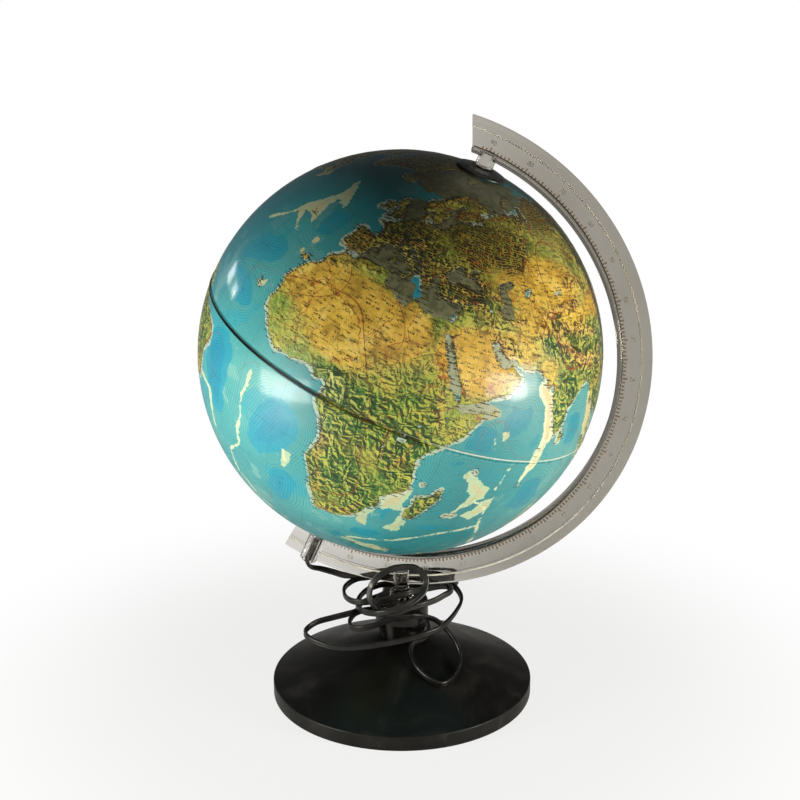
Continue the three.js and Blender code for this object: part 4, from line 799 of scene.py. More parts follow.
SHOALS = """
-44,28 -38,33 -37,36 -35,39 -32,42 -30,46 -30,49 -32,52 -33,54 -28,52 -24,49 -20,44 -27,46 -27,43 -25,39 -24,37 \
-25,35 -28,37 -32,37 -30,34 -27,32 -32,34 -34,35 -38,32
-19,29 -18,29 -16,28 -15,27 -18,28
-18,33.5 -17,34 -17,33 -18,32
-25,17 -24,16 -22,17 -22,16 -23,14 -25,13 -24,15 -25,16
36,-23 36,-19 36,-15 37,-12 37,-9 38,-6 40,-8 39,-12 42,-14 42,-17 42,-20 44,-22 42,-23 39,-23 38,-25
11,-18 9,-19 6,-21 6,-23 5,-24 5,-20
33,-46 46,-44 54,-49 39,-48
32,-26 36,-25 35,-30 36,-34 33,-34
43,-25 47,-26 46,-33 42,-32
5,-22 8,-19 11,-18 8,-20 7,-25 5,-26
53,-6 54,-4 59,-7 63,-9 63,-12 58,-18 56,-21 59,-12
61,-20 63,-15 67,-11 67,-17 64,-21
69,-12 72,-7 73,-6 70,-11
97,21 92,19 93,12 95,5 98,-1 100,8 98,16
59,8 61,9 60,5
66,-46 76,-50 80,-58 72,-56
-63,-54 -40,-53 -34,-56 -50,-56
-54,43 -49,47 -51,49 -55,46
108,-8 116,-9 112,-14
155,-10 162,-22 168,-32 160,-26
168,-30 176,-38 170,-44 166,-38
-92,-2 -86,0 -90,4
90,-10 92,-28 88,-30
"""
RIDGES = """
.5;-12,-5 -12,-9 -13,-13 -12,-20 -13,-24 -12,-29 -18,-35 -18,-39 -17,-44 -13,-45 -8,-51 0,-52 6,-54
.2;-32,11 -31,6
.2;-44,-6 -43,-16
2.2;69,21 72.5,17 74,12 75,8
1.5;74.5,9 74,2 73.2,-1
.7;73.2,-1 72,-6
.3;57,6 58,3
.4;61,-14 66,-16 70,-24
.5;70,-24 58,-30 48,-38 34,-44
.5;70,-24 80,-36 96,-46 120,-50 150,-56
.35;66,-1 65,-9
.5;5,-20 6,-23
.8;-38,-20 -30,-21 -28,-32
1.4;-110,20 -104,5 -110,-20 -112,-40 -130,-56 -160,-62
1;145,38 160,48 170,52
.6;-155,20 -170,26 -180,30
.6;180,30 172,34 170,46
"""
# half width in degrees, height; then the line of the mountains
RANGES = """
1,.7;-9,30.5 -4,32.5 0,34.5 8,35.5
1.3,1;6,44.5 7.5,46 10,46.7 16,47.5
.8,.7;9,44.4 12,43.5 14,42 16,39.5
.8,.7;-1.5,42.9 2.5,42.5
.9,.6;17,48.5 20,49.3 24,48 26,46 22,45.3
.9,.6;14,45.5 18,43 21,40 22,38
1.5,.8;7,60 13,65 18,68.5
1.3,.7;58,51 59,57 60,62 66,68
1,1;38,44.3 44,42.5 48,41
1.2,.8;29,37 36,37.5 43,39
1.6,.9;44,37 48,33 52,30 56,28
1,.8;48,38 52,36 58,37
1.6,1;66,35 70,36 74,38
1.8,1.3;74,35 78,32 83,29 89,28 95,28.5
1.8,1.1;75,37 86,36.5 98,35
1.6,1.1;70,41 78,42 88,43.5
1.8,.9;84,49 92,50 100,48
.7,.5;73.5,20 75,14 77,9
1.6,.9;38,14 39,10 40,7
1,.7;36.5,2 36,-3 34,-10
.9,.8;29.5,1 29,-3 30,-8
1.2,.8;30.5,-25 29,-29 26,-31.5 21,-33
1.2,.7;4,24 7,23
1.2,.7;16,22 19,21
1.2,.6;10,5 13,8
1,.7;36,28 40,21 43.5,16 45,14
.8,.6;56,24 59,22.5
.9,.7;49,-14 47,-18 46.5,-22
2.2,.75;14.8,-10 14.6,-16
1.9,.7;16,-19 17.5,-27
2,.9;-150,63 -140,61 -125,55 -118,49 -112,43 -107,38 -105,31 -102,24 -98,18
1,.7;-123,48 -121,42 -119,37
1.2,.5;-84,35 -78,40 -72,44
1.3,1.2;-74,8 -77,0 -79,-6 -75,-12 -69,-17 -68,-24 -70,-32 -72,-42 -73,-50
1.4,.5;146,-18 151,-27 148,-36
1.5,1;100,30 102,25 98,20
1.5,.7;120,52 128,58 140,64 160,66
1.2,.8;135,-3.5 142,-5 147,-7
1.8,.5;-46,-15 -44,-20 -50,-25
1.3,.5;110,33 118,42 124,46
.5,.7;105,-7 112,-8
.5,.7;97,3 103,-4
"""
# kind; longitude, latitude, half widths in degrees, strength
CLIMATES = """
desert;5,24,24,8,1 19,24,11,8,1 8,14,13,5,.6 45,24,12,8,1 57,30,10,6,.5 62,38,10,5,.6 72,48,20,8,.85 70,26,5,4,.4 \
60,46,14,6,.9 85,40,12,4,.6 105,42,12,4,.8 18,-25,6,6,.25 128,-25,16,9,.9 -112,33,8,6,.8 -70,-24,3,8,.8 \
-68,-44,4,6,.6 48,45,5,4,.5
forest;20,0,14,9,.9 10,6,8,4,.6 -62,-5,14,10,1 -46,-9,9,10,.9 79,18,6,9,.95 29,-22,8,9,.75 98,31,18,11,.85 \
76,33,11,6,.8 56,31,9,4,.45 30,-10,10,8,.4 102,15,8,8,.7 112,0,14,8,.9 143,-6,8,4,.9 33,6,9,7,.7 37,-6,8,11,.85 \
19,-19,13,13,.7 30,26,2,6,.7 30,13,7,6,.35 85,60,60,7,.35 -100,56,50,7,.9 10,48,20,5,.5 48,-18,4,8,1 77,12,4,8,.4 \
130,50,12,6,.6 -80,38,10,7,.6 -88,15,8,4,.7 145,-20,5,14,.4
inner;20,38,22,7,1 36,44,8,3,.9 38,20,5,10,1 52,27,5,3,.8 49,12.5,7,2.4,.9 51,42,4,7,.8 3,56,7,5,.8 20,60,9,6,1 \
10,74,60,9,1 -40,78,40,7,.8
cold;38,56,23,9,.95 8,48,18,7,.85 -4,41,8,5,.7 30,41,24,6,.75 90,72,90,7,1 -100,72,60,8,1 -40,75,24,14,.7 \
20,70,20,5,.6 85,32,14,5,.3
"""


def table(text):
    """Each line's points, or other small groups of numbers."""
    return [[tuple(float(v) for v in group.split(",")) for group in line.split()]
            for line in text.strip().splitlines()]


def labelled(text):
    """Each line's part before the semicolon and the groups of numbers after it."""
    for row in text.strip().splitlines():
        label, numbers = row.split(";")
        yield label, table(numbers)[0]


def corners_cut(outline):
    """The same outline with its corners cut twice, for basins that have no sharp corners."""
    for _ in range(2):
        cut = []
        for (a, b), (c, d) in zip(outline, outline[1:] + outline[:1]):
            cut += [(0.75 * a + 0.25 * c, 0.75 * b + 0.25 * d), (0.25 * a + 0.75 * c, 0.25 * b + 0.75 * d)]
        outline = cut
    return outline


def on_sphere(longitude, latitude):
    lon, lat = np.radians(longitude), np.radians(latitude)
    return np.stack([np.cos(lat) * np.cos(lon), np.cos(lat) * np.sin(lon), np.sin(lat)], -1)


def dense(outline, closed=True, step=0.4):
    """An outline with points added, so that no gap is wider than a step in degrees."""
    out = []
    ends = outline[1:] + outline[:1] if closed else outline[1:]
    for (x, y), (u, v) in zip(outline, ends):
        n = max(1, int(math.ceil(math.hypot((u - x) * math.cos(math.radians((y + v) / 2)), v - y) / step)))
        out += [(x + (u - x) * k / n, y + (v - y) * k / n) for k in range(n)]
    return out if closed else out + [outline[-1]]


def within(lon, lat, outline):
    """Which places lie inside an outline that may run past 180 degrees."""
    xs = np.array([p[0] for p in outline])
    ys = np.array([p[1] for p in outline])
    inside = np.zeros(lon.shape, bool)
    for turn in (-360.0, 0.0, 360.0):
        x = lon + turn
        near = np.nonzero((x >= xs.min()) & (x <= xs.max()) & (lat >= ys.min()) & (lat <= ys.max()))[0]
        if not len(near):
            continue
        px, py = x[near], lat[near]
        odd = np.zeros(len(near), bool)
        for x1, y1, x2, y2 in zip(xs, ys, np.roll(xs, -1), np.roll(ys, -1)):
            if y1 != y2:
                crosses = (y1 > py) != (y2 > py)
                odd ^= crosses & (px < (x2 - x1) * (py - y1) / (y2 - y1) + x1)
        inside[near] ^= odd
    return inside


def gap_to(places, marks):
    """Distance in millimetres on the ball from each place to the nearest mark."""
    tree = kdtree.KDTree(len(marks))
    for i, mark in enumerate(marks):
        tree.insert(mark, i)
    tree.balance()
    return np.array([tree.find(place)[2] for place in places]) * (BALL_RADIUS / MM)


def signed(lon, lat, places, outlines, holes=()):
    """Millimetres to the nearest edge of the outlines: above zero inside them, below outside."""
    inside = np.zeros(lon.shape, bool)
    edges = []
    for outline in outlines:
        inside |= within(lon, lat, outline)
    for i, outline in enumerate(outlines):
        points = np.array([p for p in dense(outline) if p[1] > -89])
        hidden = np.zeros(len(points), bool)
        for k, other in enumerate(outlines):
            if k != i:
                hidden |= within(points[:, 0], points[:, 1], other)
        edges.append(points[~hidden])
    for hole in holes:
        inside &= ~within(lon, lat, hole)
        edges.append(np.array(dense(hole)))
    edges = np.concatenate(edges)
    gap = gap_to(places, on_sphere(edges[:, 0], edges[:, 1]))
    return np.where(inside, gap, -gap)


def circle(lon, lat, radius):
    """A ragged round outline."""
    wide, ragged = radius / max(0.2, math.cos(math.radians(lat))), 0.22
    out = []
    for k in range(11):
        a = 2 * math.pi * k / 11
        out.append((lon + wide * (1 + ragged * math.sin(3 * a + lon)) * math.cos(a),
                    lat + radius * (1 + ragged * math.cos(2 * a + lat)) * math.sin(a)))
    return out


def line_gap(places, line):
    """Degrees from each place to the nearest point of an open line."""
    marks = np.array(dense(line, closed=False, step=1.0))
    marks = on_sphere(marks[:, 0], marks[:, 1])
    best = np.full(len(places), 9.0)    # squared, and past any gap that a unit ball can have
    for mark in marks:
        best = np.minimum(best, ((places - mark) ** 2).sum(1))
    return np.degrees(np.sqrt(best))


def survey(lon, lat):
    """Every field that the map's colours and heights are read from, at each place."""
    places = on_sphere(lon, lat)
    seas = table(SEAS) + [circle(*p) for row in table(LAKES) for p in row]
    land = table(LAND) + [circle(*p) for row in table(ISLANDS) for p in row]
    fields = {"coast": signed(lon, lat, places, land, seas),
              "deep": signed(lon, lat, places, [corners_cut(outline) for outline in table(DEEPS)]),
              "shoal": signed(lon, lat, places, table(SHOALS))}
    fields["ridge"] = np.full(len(lon), -30.0)
    for width, line in labelled(RIDGES):
        fields["ridge"] = np.maximum(fields["ridge"], float(width) - line_gap(places, line))
    fields["height"] = np.zeros(len(lon))
    for size, line in labelled(RANGES):
        wide, tall = (float(v) for v in size.split(","))
        bulge = np.exp(-(line_gap(places, line) / (wide * 1.15)) ** 2)
        fields["height"] = np.maximum(fields["height"], tall * bulge)
    for kind, blobs in labelled(CLIMATES):
        fields[kind] = np.zeros(len(lon))
        for x, y, w, h, strength in blobs:
            d = ((lon - x + 180) % 360 - 180) * np.cos(np.radians(lat)) / max(0.3, math.cos(math.radians(y)))
            away = np.maximum(0, (d / w) ** 2 + ((lat - y) / h) ** 2 - 0.35)
            fields[kind] = np.maximum(fields[kind], strength * np.exp(-away * 1.1))
    return fields


def waves(x, y, z, seed):
    """A smooth random field between -1 and 1, made of a few plane waves."""
    rng = np.random.default_rng(seed)
    total = np.zeros(x.shape)
    for _ in range(22):
        way = rng.normal(size=3)
        way *= rng.uniform(18, 70) / np.linalg.norm(way)
        total += np.sin(way[0] * x + way[1] * y + way[2] * z + rng.uniform(0, 6.28))
    return total / 22 ** 0.5


def make_half(name, north, sizes, finish, inner_finish):
    """One moulded half: the map's skin in raised relief outside, a smooth wall inside, a groove for the tape."""
    columns, rows = sizes.columns, sizes.rows
    side = 1 if north else -1
    skin, inside = sizes.skin_radius, BALL_RADIUS - sizes.wall
    lip = sizes.tape_width / 2 + 0.0003
    groove, meeting = 0.1492, 0.00015    # radius of the tape's groove, height of the edge where the halves meet
    low, high = math.asin(lip / skin), math.acos(sizes.pole_hole / skin)
    turns = np.arange(columns) * 2 * math.pi / columns
    latitudes = low + (high - low) * np.linspace(0, 1, rows)
    lat_grid, turn_grid = np.meshgrid(latitudes * side, turns, indexing="ij")
    x, y, z = np.cos(lat_grid) * np.cos(turn_grid), np.cos(lat_grid) * np.sin(turn_grid), np.sin(lat_grid)
    lon = (np.degrees(np.arctan2(x, -y)) + math.degrees(sizes.prime_turn) + 180) % 360 - 180
    fields = survey(lon.ravel(), np.degrees(lat_grid).ravel())
    coast = fields["coast"].reshape(x.shape)
    height = fields["height"].reshape(x.shape)
    rough = waves(x, y, z, 5) * 0.5 + waves(x * 2.3, y * 2.3, z * 2.3, 9) * 0.5
    shore = np.clip(coast / 1.6, 0, 1)
    raised = shore * (0.16 + 0.10 * np.abs(rough) + height * (0.42 + 0.35 * np.abs(rough)))
    edge = np.clip((np.abs(np.degrees(lat_grid)) - math.degrees(low)) / 0.8, 0, 1)
    reach = skin + sizes.relief * np.clip(raised, 0, 1) * edge
    points = np.stack([x * reach, y * reach, z * reach], -1).reshape(-1, 3)
    extra = []

    def more(radius, latitude=None, height=None):
        flat = radius if height is not None else radius * math.cos(latitude)
        up = height if height is not None else radius * math.sin(latitude)
        extra.append(np.stack([flat * np.cos(turns), flat * np.sin(turns), np.full(columns, side * up)], -1))

    for k in range(5):
        more(inside, high - (high - 0.004) * k / 4)
    more(inside, height=meeting)
    more(groove, height=meeting)
    more(groove, height=lip - 0.0002)
    points = np.concatenate([points] + extra)
    rings = rows + len(extra)
    index = np.arange(rings * columns).reshape(rings, columns)
    nxt = np.roll(index, -1, axis=1)
    upper = np.roll(index, -1, axis=0)
    upper_next = np.roll(nxt, -1, axis=0)
    quads = np.stack([index, nxt, upper_next, upper], -1).reshape(-1, 4)
    if not north:
        quads = quads[:, ::-1]
    mesh = bpy.data.meshes.new(name)
    mesh.from_pydata([tuple(ON_AXIS @ Vector(p)) for p in points], [], quads.tolist())
    piece = add_object(name, mesh)
    mesh.shade_smooth()
    mesh.materials.append(finish)
    mesh.materials.append(inner_finish)
    ring_of = np.repeat(np.arange(rings), columns)
    unprinted = (ring_of >= rows) & (ring_of < rings - 1)
    mesh.polygons.foreach_set("material_index", unprinted.astype(np.int32))
    for key, values in fields.items():
        layer = mesh.attributes.new(key, "FLOAT", "POINT")
        full = np.full(len(points), float(values.min()))
        full[:rows * columns] = values
        full[-columns:] = values[:columns]
        layer.data.foreach_set("value", full.astype(np.float32))
    soften(piece, 40)
    return piece


# ---------- finishes ----------
def map_print(finish, prime_turn):
    """The printed map, with painted shade over its sea, as a colour, its relief and the angles, from the fields on the
    mesh.
    """
    calc, times, most, summed = finish.calc, finish.times, finish.most, finish.summed
    fit, mix, layers, ramp, noise, attribute = (
        finish.fit, finish.mix, finish.layers, finish.ramp, finish.noise, finish.attribute)
    place = finish.place(location=CENTRE, rotation=(0, TILT, 0))
    x, y, z = finish.node("SeparateXYZ", {0: place}).outputs
    latitude = calc("ARCSINE", calc("DIVIDE", z, BALL_RADIUS))
    longitude = calc("ADD", calc("ARCTAN2", x, times(y, -1)), prime_turn)
    east = calc("WRAP", longitude, math.pi, -math.pi)

    # hand-drawn edges: each field is bent by noise of three widths
    wander, wide, broad = (calc("SUBTRACT", noise(place, scale, 3, roughness), 0.5)
                           for scale, roughness in ((330, 0.6), (75, 0.55), (24, 0.6)))
    coast = summed(attribute("coast"), (wide, 1.6), (wander, 1.7))
    deep = summed(attribute("deep"), (broad, 20), (wide, 8), (wander, 2.6))
    shoal = summed(attribute("shoal"), (wander, 5), (wide, 11))
    ridge = summed(attribute("ridge"), (wander, 1.4), (wide, 1.6))
    height, desert, forest, cold, inner = (
        attribute(name) for name in ("height", "desert", "forest", "cold", "inner"))

    # the sea: flat printed tones with crisp edges, under fine depth lines, with painted shade towards the north, the
    # far south and the east
    calm = noise(place, 9)
    sea = ramp(calm, [(0.32, "3A979F"), (0.46, "4BA9AF"), (0.56, "5AB6B8"), (0.68, "74BEBD")])
    sea = layers(sea, (broad, 0.085, 0.10, 0.7, "34A9BC"), (broad, -0.11, -0.12, 0.45, "93CBC2"),
                 (deep, -1.2, -0.85, 0.85, "149FBD"), (deep, 6.6, 6.9, 0.5, "0C8FB6"))
    west = times(fit(east, -0.5, -0.8, 0, 0.5), fit(latitude, -0.05, 0.15), fit(east, -2.0, -1.4))
    sea = mix(west, sea, "187FA0")
    # painted shade: the sea is darkened towards the north, the far south and over eastern longitudes, where the ball
    # falls into shade
    painted_shade = most(fit(latitude, -0.02, 0.5, 0, 0.58), fit(latitude, -0.45, -0.85, 0, 0.4))
    painted_shade = most(painted_shade, times(fit(east, 0.5, 0.95, 0, 0.5), fit(east, 2.6, 1.9)))
    sea = mix(painted_shade, sea, "1F7580")
    depth_line = calc("PINGPONG", calc("MULTIPLY_ADD", attribute("deep"), 0.5, times(calm, 18)), 0.5)
    sea = layers(sea, (depth_line, 0.16, 0.06, 0.36, "0E4652"),
                 (shoal, -0.12, 0.12, 0.9, ramp(calm, [(0.42, "BCD3AE"), (0.56, "CCC898")])),
                 (shoal, 3.4, 3.7, 0.6, "CDBB8C"),
                 (ridge, -0.1, 0.1, 0.9, "D5E2BC"), (ridge, 1.0, 1.15, 0.75, "DCBD8A"),
                 (summed(coast, (wide, 4), (broad, 9)), -2.1, -1.9, 0.72, "CBD6BC"))
    grey = times(fit(summed(inner, (wide, 1.1)), 0.38, 0.42), fit(deep, 0.1, -0.1), 0.92)
    muddy = ramp(noise(place, 190, 2, 0.7), [(0.42, "565330"), (0.58, "716D48")])
    sea = mix(grey, sea, mix(fit(latitude, 0.58, 0.5), muddy, "A4A987"))

    # the land: tinted plains, with the printed shading of ridges and valleys
    grain = noise(place, 165, 4, 0.62, 0.9)
    plain = ramp(noise(place, 34, 3, 0.6), [(0.37, "86A246"), (0.5, "B0B04E"), (0.62, "CDBD5A")])
    woods = ramp(noise(place, 40, 4, 0.6), [(0.38, "23602F"), (0.52, "437F36"), (0.66, "7F9A40")])
    sand = ramp(noise(place, 60, 4, 0.65), [(0.34, "AE8C34"), (0.46, "D6AE42"), (0.56, "E4C050"), (0.66, "EACB68")])
    frost = ramp(noise(place, 48, 4, 0.62), [(0.38, "4A4410"), (0.5, "74631C"), (0.64, "9C7C2A")])
    plain = layers(plain, (forest, 0.15, 0.75, 0.95, woods), (desert, 0.2, 0.6, 1, sand))
    plain = mix(times(cold, 0.9), plain, frost)
    folds, beside = (noise(spot, 120, 2.6, 0.55, 1.4) for spot in (place, finish.moved(place, (0.0006, 0, 0.001))))
    slope = calc("SUBTRACT", beside, folds)
    rugged = most(fit(calc("ADD", forest, height), 0.2, 0.8, 0.3, 1.0), fit(noise(place, 21), 0.45, 0.6, 0.1, 0.8))
    rugged = times(rugged, fit(calc("SUBTRACT", desert, height), 0.2, 0.8, 1.0, 0.22))
    bare = calc("SUBTRACT", height, grain)
    plain = layers(plain, (bare, 0.05, 0.15, 0.5, "C99648"), (bare, 0.42, 0.5, 0.6, "D9A76A"))
    plain = mix(times(fit(slope, 0.018, 0.055, 0, 0.66), rugged), plain, "D3CC58")
    shaded = mix(fit(desert, 0.2, 0.7), "14371B", "46351A")
    plain = mix(times(fit(slope, -0.003, -0.035, 0, 0.9), rugged), plain, shaded)
    plain = layers(plain, (noise(place, 250, 3, 0.7), 0.575, 0.60, 0.4, "5A4A22"))

    # borders, routes, the grid and small marks
    shift = finish.node("TexNoise", {"Vector": place, "Scale": 70.0, "Detail": 4.0}).outputs["Color"]
    bent = finish.node("VectorMath", {0: shift, 1: (0.022, 0.022, 0.022), 2: place}, operation="MULTIPLY_ADD")
    border = fit(finish.cells(bent.outputs[0], 30, "DISTANCE_TO_EDGE"), 0.013, 0.006, 0, 0.75)
    plain = mix(times(border, fit(forest, 0.2, 0.6, 1, 0.3)), plain, "A03A1C")
    plain = layers(plain, (coast, 0.42, 0.1, 0.55, "3B4A2C"))
    shade = mix(fit(coast, -0.06, 0.06), sea, plain)
    for scale, offset in ((11, 0.0), (8, 0.31)):
        route = noise(finish.moved(place, (offset, offset, 0)), scale, 1.2, 0.4)
        route = fit(calc("ABSOLUTE", calc("SUBTRACT", route, 0.5)), 0.0024, 0.0012, 0, 0.7)
        shade = mix(times(route, fit(coast, 0, 0.2, 0.25, 1)), shade, "8A2F18")
    for value, squeeze in ((longitude, calc("COSINE", latitude)), (latitude, 1.0)):
        grid = calc("PINGPONG", calc("DIVIDE", value, math.radians(15)), 0.5)
        shade = layers(shade, (times(grid, 39.3, squeeze), 0.2, 0.1, 0.45, "2A3A3C"))
    flat = finish.vector(times(longitude, 15), times(latitude, 40))
    cell = finish.node("TexVoronoi", {"Vector": flat, "Scale": 1.0, "Randomness": 0.85}, voronoi_dimensions="2D")
    away = finish.node("VectorMath", {0: flat, 1: cell.outputs["Position"]}, operation="SUBTRACT").outputs[0]
    across, upward = (calc("ABSOLUTE", part) for part in finish.node("SeparateXYZ", {0: away}).outputs[:2])
    beat = noise(finish.vector(times(longitude, 150.0), times(latitude, 90.0)), 1.15, 1.5, 0.8)
    mark = times(fit(upward, 0.19, 0.14), fit(across, 0.34, 0.30), fit(beat, 0.49, 0.52),
                 fit(coast, -3.0, -1.0, 0.12, 0.95))
    shade = mix(mark, shade, "14160F")

    # rows of short strokes: close ones where the map is crowded, and wider ones off the coasts
    def strokes(rows, along, between, texture, cut, line):
        spot = finish.vector(times(longitude, along), times(calc("FLOOR", rows), between))
        middle = calc("ABSOLUTE", calc("SUBTRACT", calc("FRACT", rows), 0.5))
        return times(fit(noise(spot, 1.0, *texture, noise_dimensions="2D"), *cut), fit(middle, *line))

    rows = calc("MULTIPLY_ADD", latitude, 82, calc("MULTIPLY_ADD", broad, 9, times(wide, 2.2)))
    stroke = strokes(rows, 52, 7.31, (2.0, 0.7), (0.455, 0.485), (0.38, 0.29))
    shore = times(fit(coast, -2.2, -0.8), fit(coast, 1.6, 0.4))
    crowd = most(times(fit(cold, 0.2, 0.5), fit(coast, -1.4, -0.2)), times(shore, 0.9))
    patches = summed(noise(place, 33), (cold, 0.12))
    shade = mix(times(stroke, crowd, fit(patches, 0.46, 0.52, 0.15, 0.95)), shade, "11120A")
    name = strokes(times(latitude, 46), 19, 5.17, (0.0,), (0.50, 0.52), (0.15, 0.10))
    name = times(name, fit(coast, -3.6, -3.2), fit(coast, 0.8, 0.2), fit(beat, 0.42, 0.46, 0.35, 0.9))
    shade = mix(name, shade, "11120A")
    dots = times(fit(finish.cells(place, 95), 0.05, 0.035), fit(noise(place, 60, 1), 0.5, 0.54), 0.8)
    shade = mix(dots, shade, "101A1C")
    relief = calc("MULTIPLY_ADD", folds, summed(0.3, (rugged, 1.3)), times(grain, 0.4))
    return shade, times(fit(coast, 0.0, 0.5), relief), east, longitude, z


def map_finish(sizes):
    """Printed relief map, with painted shade over its sea, under a thin lacquer."""
    finish = Finish("Relief Map", ior=1.45, specular_ior_level=0.45, coat_weight=0.45, coat_roughness=0.11)
    shade, relief, *_ = map_print(finish, sizes.prime_turn)
    place = finish.place(location=CENTRE)
    height = finish.summed(relief, (finish.noise(place, 22), 1.2), (finish.noise(place, 900, 3, 0.7), 0.05))
    roughness = finish.fit(finish.noise(place, 40, 4, 0.6), 0.35, 0.7, 0.42, 0.58)
    return finish.done(shade, roughness, finish.bump(height, 1.0, 0.0008))


def tape_finish(sizes):
    """The tape over the seam carries the map on, with the black line of the equator, widened over its western part into
    a painted shadow of the seam's gap, and pale edges.
    """
    finish = Finish("Equator Tape", ior=1.45, specular_ior_level=0.12, coat_weight=0.04, coat_roughness=0.2)
    calc, times, fit, mix = finish.calc, finish.times, finish.fit, finish.mix
    shade, _, east, longitude, z = map_print(finish, sizes.prime_turn)
    off = calc("ABSOLUTE", times(z, 1000))
    dashes = fit(calc("PINGPONG", times(longitude, 26), 0.5), 0.16, 0.19)
    width = finish.noise(finish.place(location=CENTRE), 260)
    band = fit(east, 0.12, 0.7, 1.15, 0.5)
    # painted shadow: over these longitudes the printed equator line is widened into the shadow of the seam's gap
    gap_shadow_span = times(fit(east, 0.78, 0.66), fit(east, -3.0, -2.3))
    body = times(fit(calc("SUBTRACT", off, band), 0.12, -0.12), gap_shadow_span, fit(east, 0.12, 0.25, 1, 0.8))
    thin = times(fit(off, 0.42, 0.3), dashes, calc("SUBTRACT", 1, gap_shadow_span), 0.4)
    edge = times(fit(off, 0.95, 1.1), fit(east, 0.66, 0.85, 0.0, 0.85), fit(width, 0.3, 0.5, 0.6, 1),
                 fit(z, -0.0004, 0.0004, 0.12, 1))
    shade = mix(edge, shade, "DDE6DA")
    shade = mix(body, shade, mix(fit(east, 0.12, 0.25), "070605", "2B2310"))
    shade = mix(thin, shade, "2A2620")
    return finish.done(shade, fit(width, 0.3, 0.7, 0.3, 0.5), finish.bump(width, 0.25, 0.0002))


def black_finish(name, base, rough=0.2, dusty=0.35, scratches=0.4, coat=0.7, grain=0.1, level=0.5):
    """Moulded black plastic with faint flow marks, dust and fine scratches."""
    finish = Finish(name, ior=1.5, specular_ior_level=level, coat_weight=coat, coat_roughness=0.07)
    place = finish.place()
    smear = finish.noise(place, 26, 5, 0.65, 0.8)
    specks = finish.noise(place, 950, 2, 0.7)
    drawn = finish.noise(finish.place(rotation=(0.3, 0.2, 0.9), scale=(1, 0.03, 1)), 420)
    dust = finish.times(finish.fit(smear, 0.5, 0.78, 0, dusty), finish.fit(specks, 0.42, 0.7, 0.25, 1))
    worn = finish.fit(drawn, 0.62, 0.7, 0, scratches)
    gloss = finish.summed(finish.fit(smear, 0.35, 0.75, rough, rough + 0.16), (worn, 0.2))
    height = finish.summed(finish.times(specks, grain), (worn, -0.25))
    return finish.done(finish.mix(dust, rgba(base), "55524D"), gloss, finish.bump(height, 0.3, 0.0001))


def clear_finish(name, base, rough=0.045, pale=None, ior=1.49):
    """Old clear acrylic: smoky, faintly rippled, with fine scuffs; given a pale tint, it also takes painted light,
    paler towards its south end.
    """
    finish = Finish(name, transmission_weight=1.0, ior=ior)
    place = finish.place()
    ripple = finish.noise(place, 70, 3, 0.5)
    scuff = finish.noise(place, 600, 3, 0.7)
    smoke = finish.fit(finish.noise(place, 22, 3, 0.6), 0.35, 0.7, 0, 0.35)
    shade = finish.mix(smoke, rgba(base), rgba(c * 0.8 for c in base))
    # painted light: the tint grows paler towards -X, the arm's south end, where the plastic looks brighter
    if pale:
        along = finish.node("SeparateXYZ", {0: place}).outputs[0]
        shade = finish.mix(finish.fit(along, 0.12, -0.09), shade, pale)
    return finish.done(shade, finish.fit(scuff, 0.5, 0.8, rough, rough + 0.12), finish.bump(ripple, 0.25, 0.0006))


def plain_finish(name, dark, light, rough=0.4, metallic=0.0, scale=120, **more):
    """A moulded or metal finish with mottled colour, uneven gloss and a fine surface."""
    finish = Finish(name, metallic=metallic, **more)
    place = finish.place()
    mottle = finish.ramp(finish.noise(place, scale, 4, 0.6), [(0.3, dark), (0.7, light)])
    fine = finish.noise(place, scale * 9, 3, 0.6)
    return finish.done(mottle, finish.fit(fine, 0.3, 0.7, rough - 0.06, rough + 0.12),
                       finish.bump(fine, 0.25, 0.0001))


def felt_finish(base):
    """Short matted wool fibres."""
    finish = Finish("Felt", sheen_weight=0.4, sheen_roughness=0.5)
    place = finish.place()
    fibres = finish.noise(place, 1500, 4, 0.75, 2.5)
    matted = finish.summed(finish.times(finish.noise(place, 160, 4, 0.6), 0.4), (fibres, 0.7))
    shade = finish.mix(finish.fit(matted, 0.45, 0.65), rgba(base), "3C3B3B")
    return finish.done(shade, 0.95, finish.bump(fibres, 0.8, 0.0004))


def flex_finish(base):
    """Soft black plastic of the flex, a little dusty, with faint drawing marks."""
    finish = Finish("Flex", ior=1.5, specular_ior_level=0.35, coat_weight=0.5, coat_roughness=0.12)
    place = finish.place()
    smear = finish.noise(place, 90, 4, 0.6)
    fine = finish.noise(place, 1400, 2, 0.6)
    shade = finish.mix(finish.fit(smear, 0.5, 0.8, 0, 0.2), rgba(base), "3A3835")
    return finish.done(shade, finish.fit(smear, 0.3, 0.75, 0.3, 0.52), finish.bump(fine, 0.2, 0.00008))


# ---------- the stage ----------
def area(name, offset, wide, tall, power, tone):
    """A lamp beside the ball, aimed at its centre."""
    data = bpy.data.lights.new(name, "AREA")
    data.shape = "RECTANGLE"
    data.size, data.size_y, data.energy, data.color = wide, tall, power, tint(tone)[:3]
    lamp = add_object(name, data)
    lamp.visible_camera = False
    place = CENTRE + Vector(offset)
    turn = (place - CENTRE).to_track_quat("Z", "Y").to_matrix().to_4x4()
    lamp.matrix_world = Matrix.Translation(place) @ turn
    return lamp


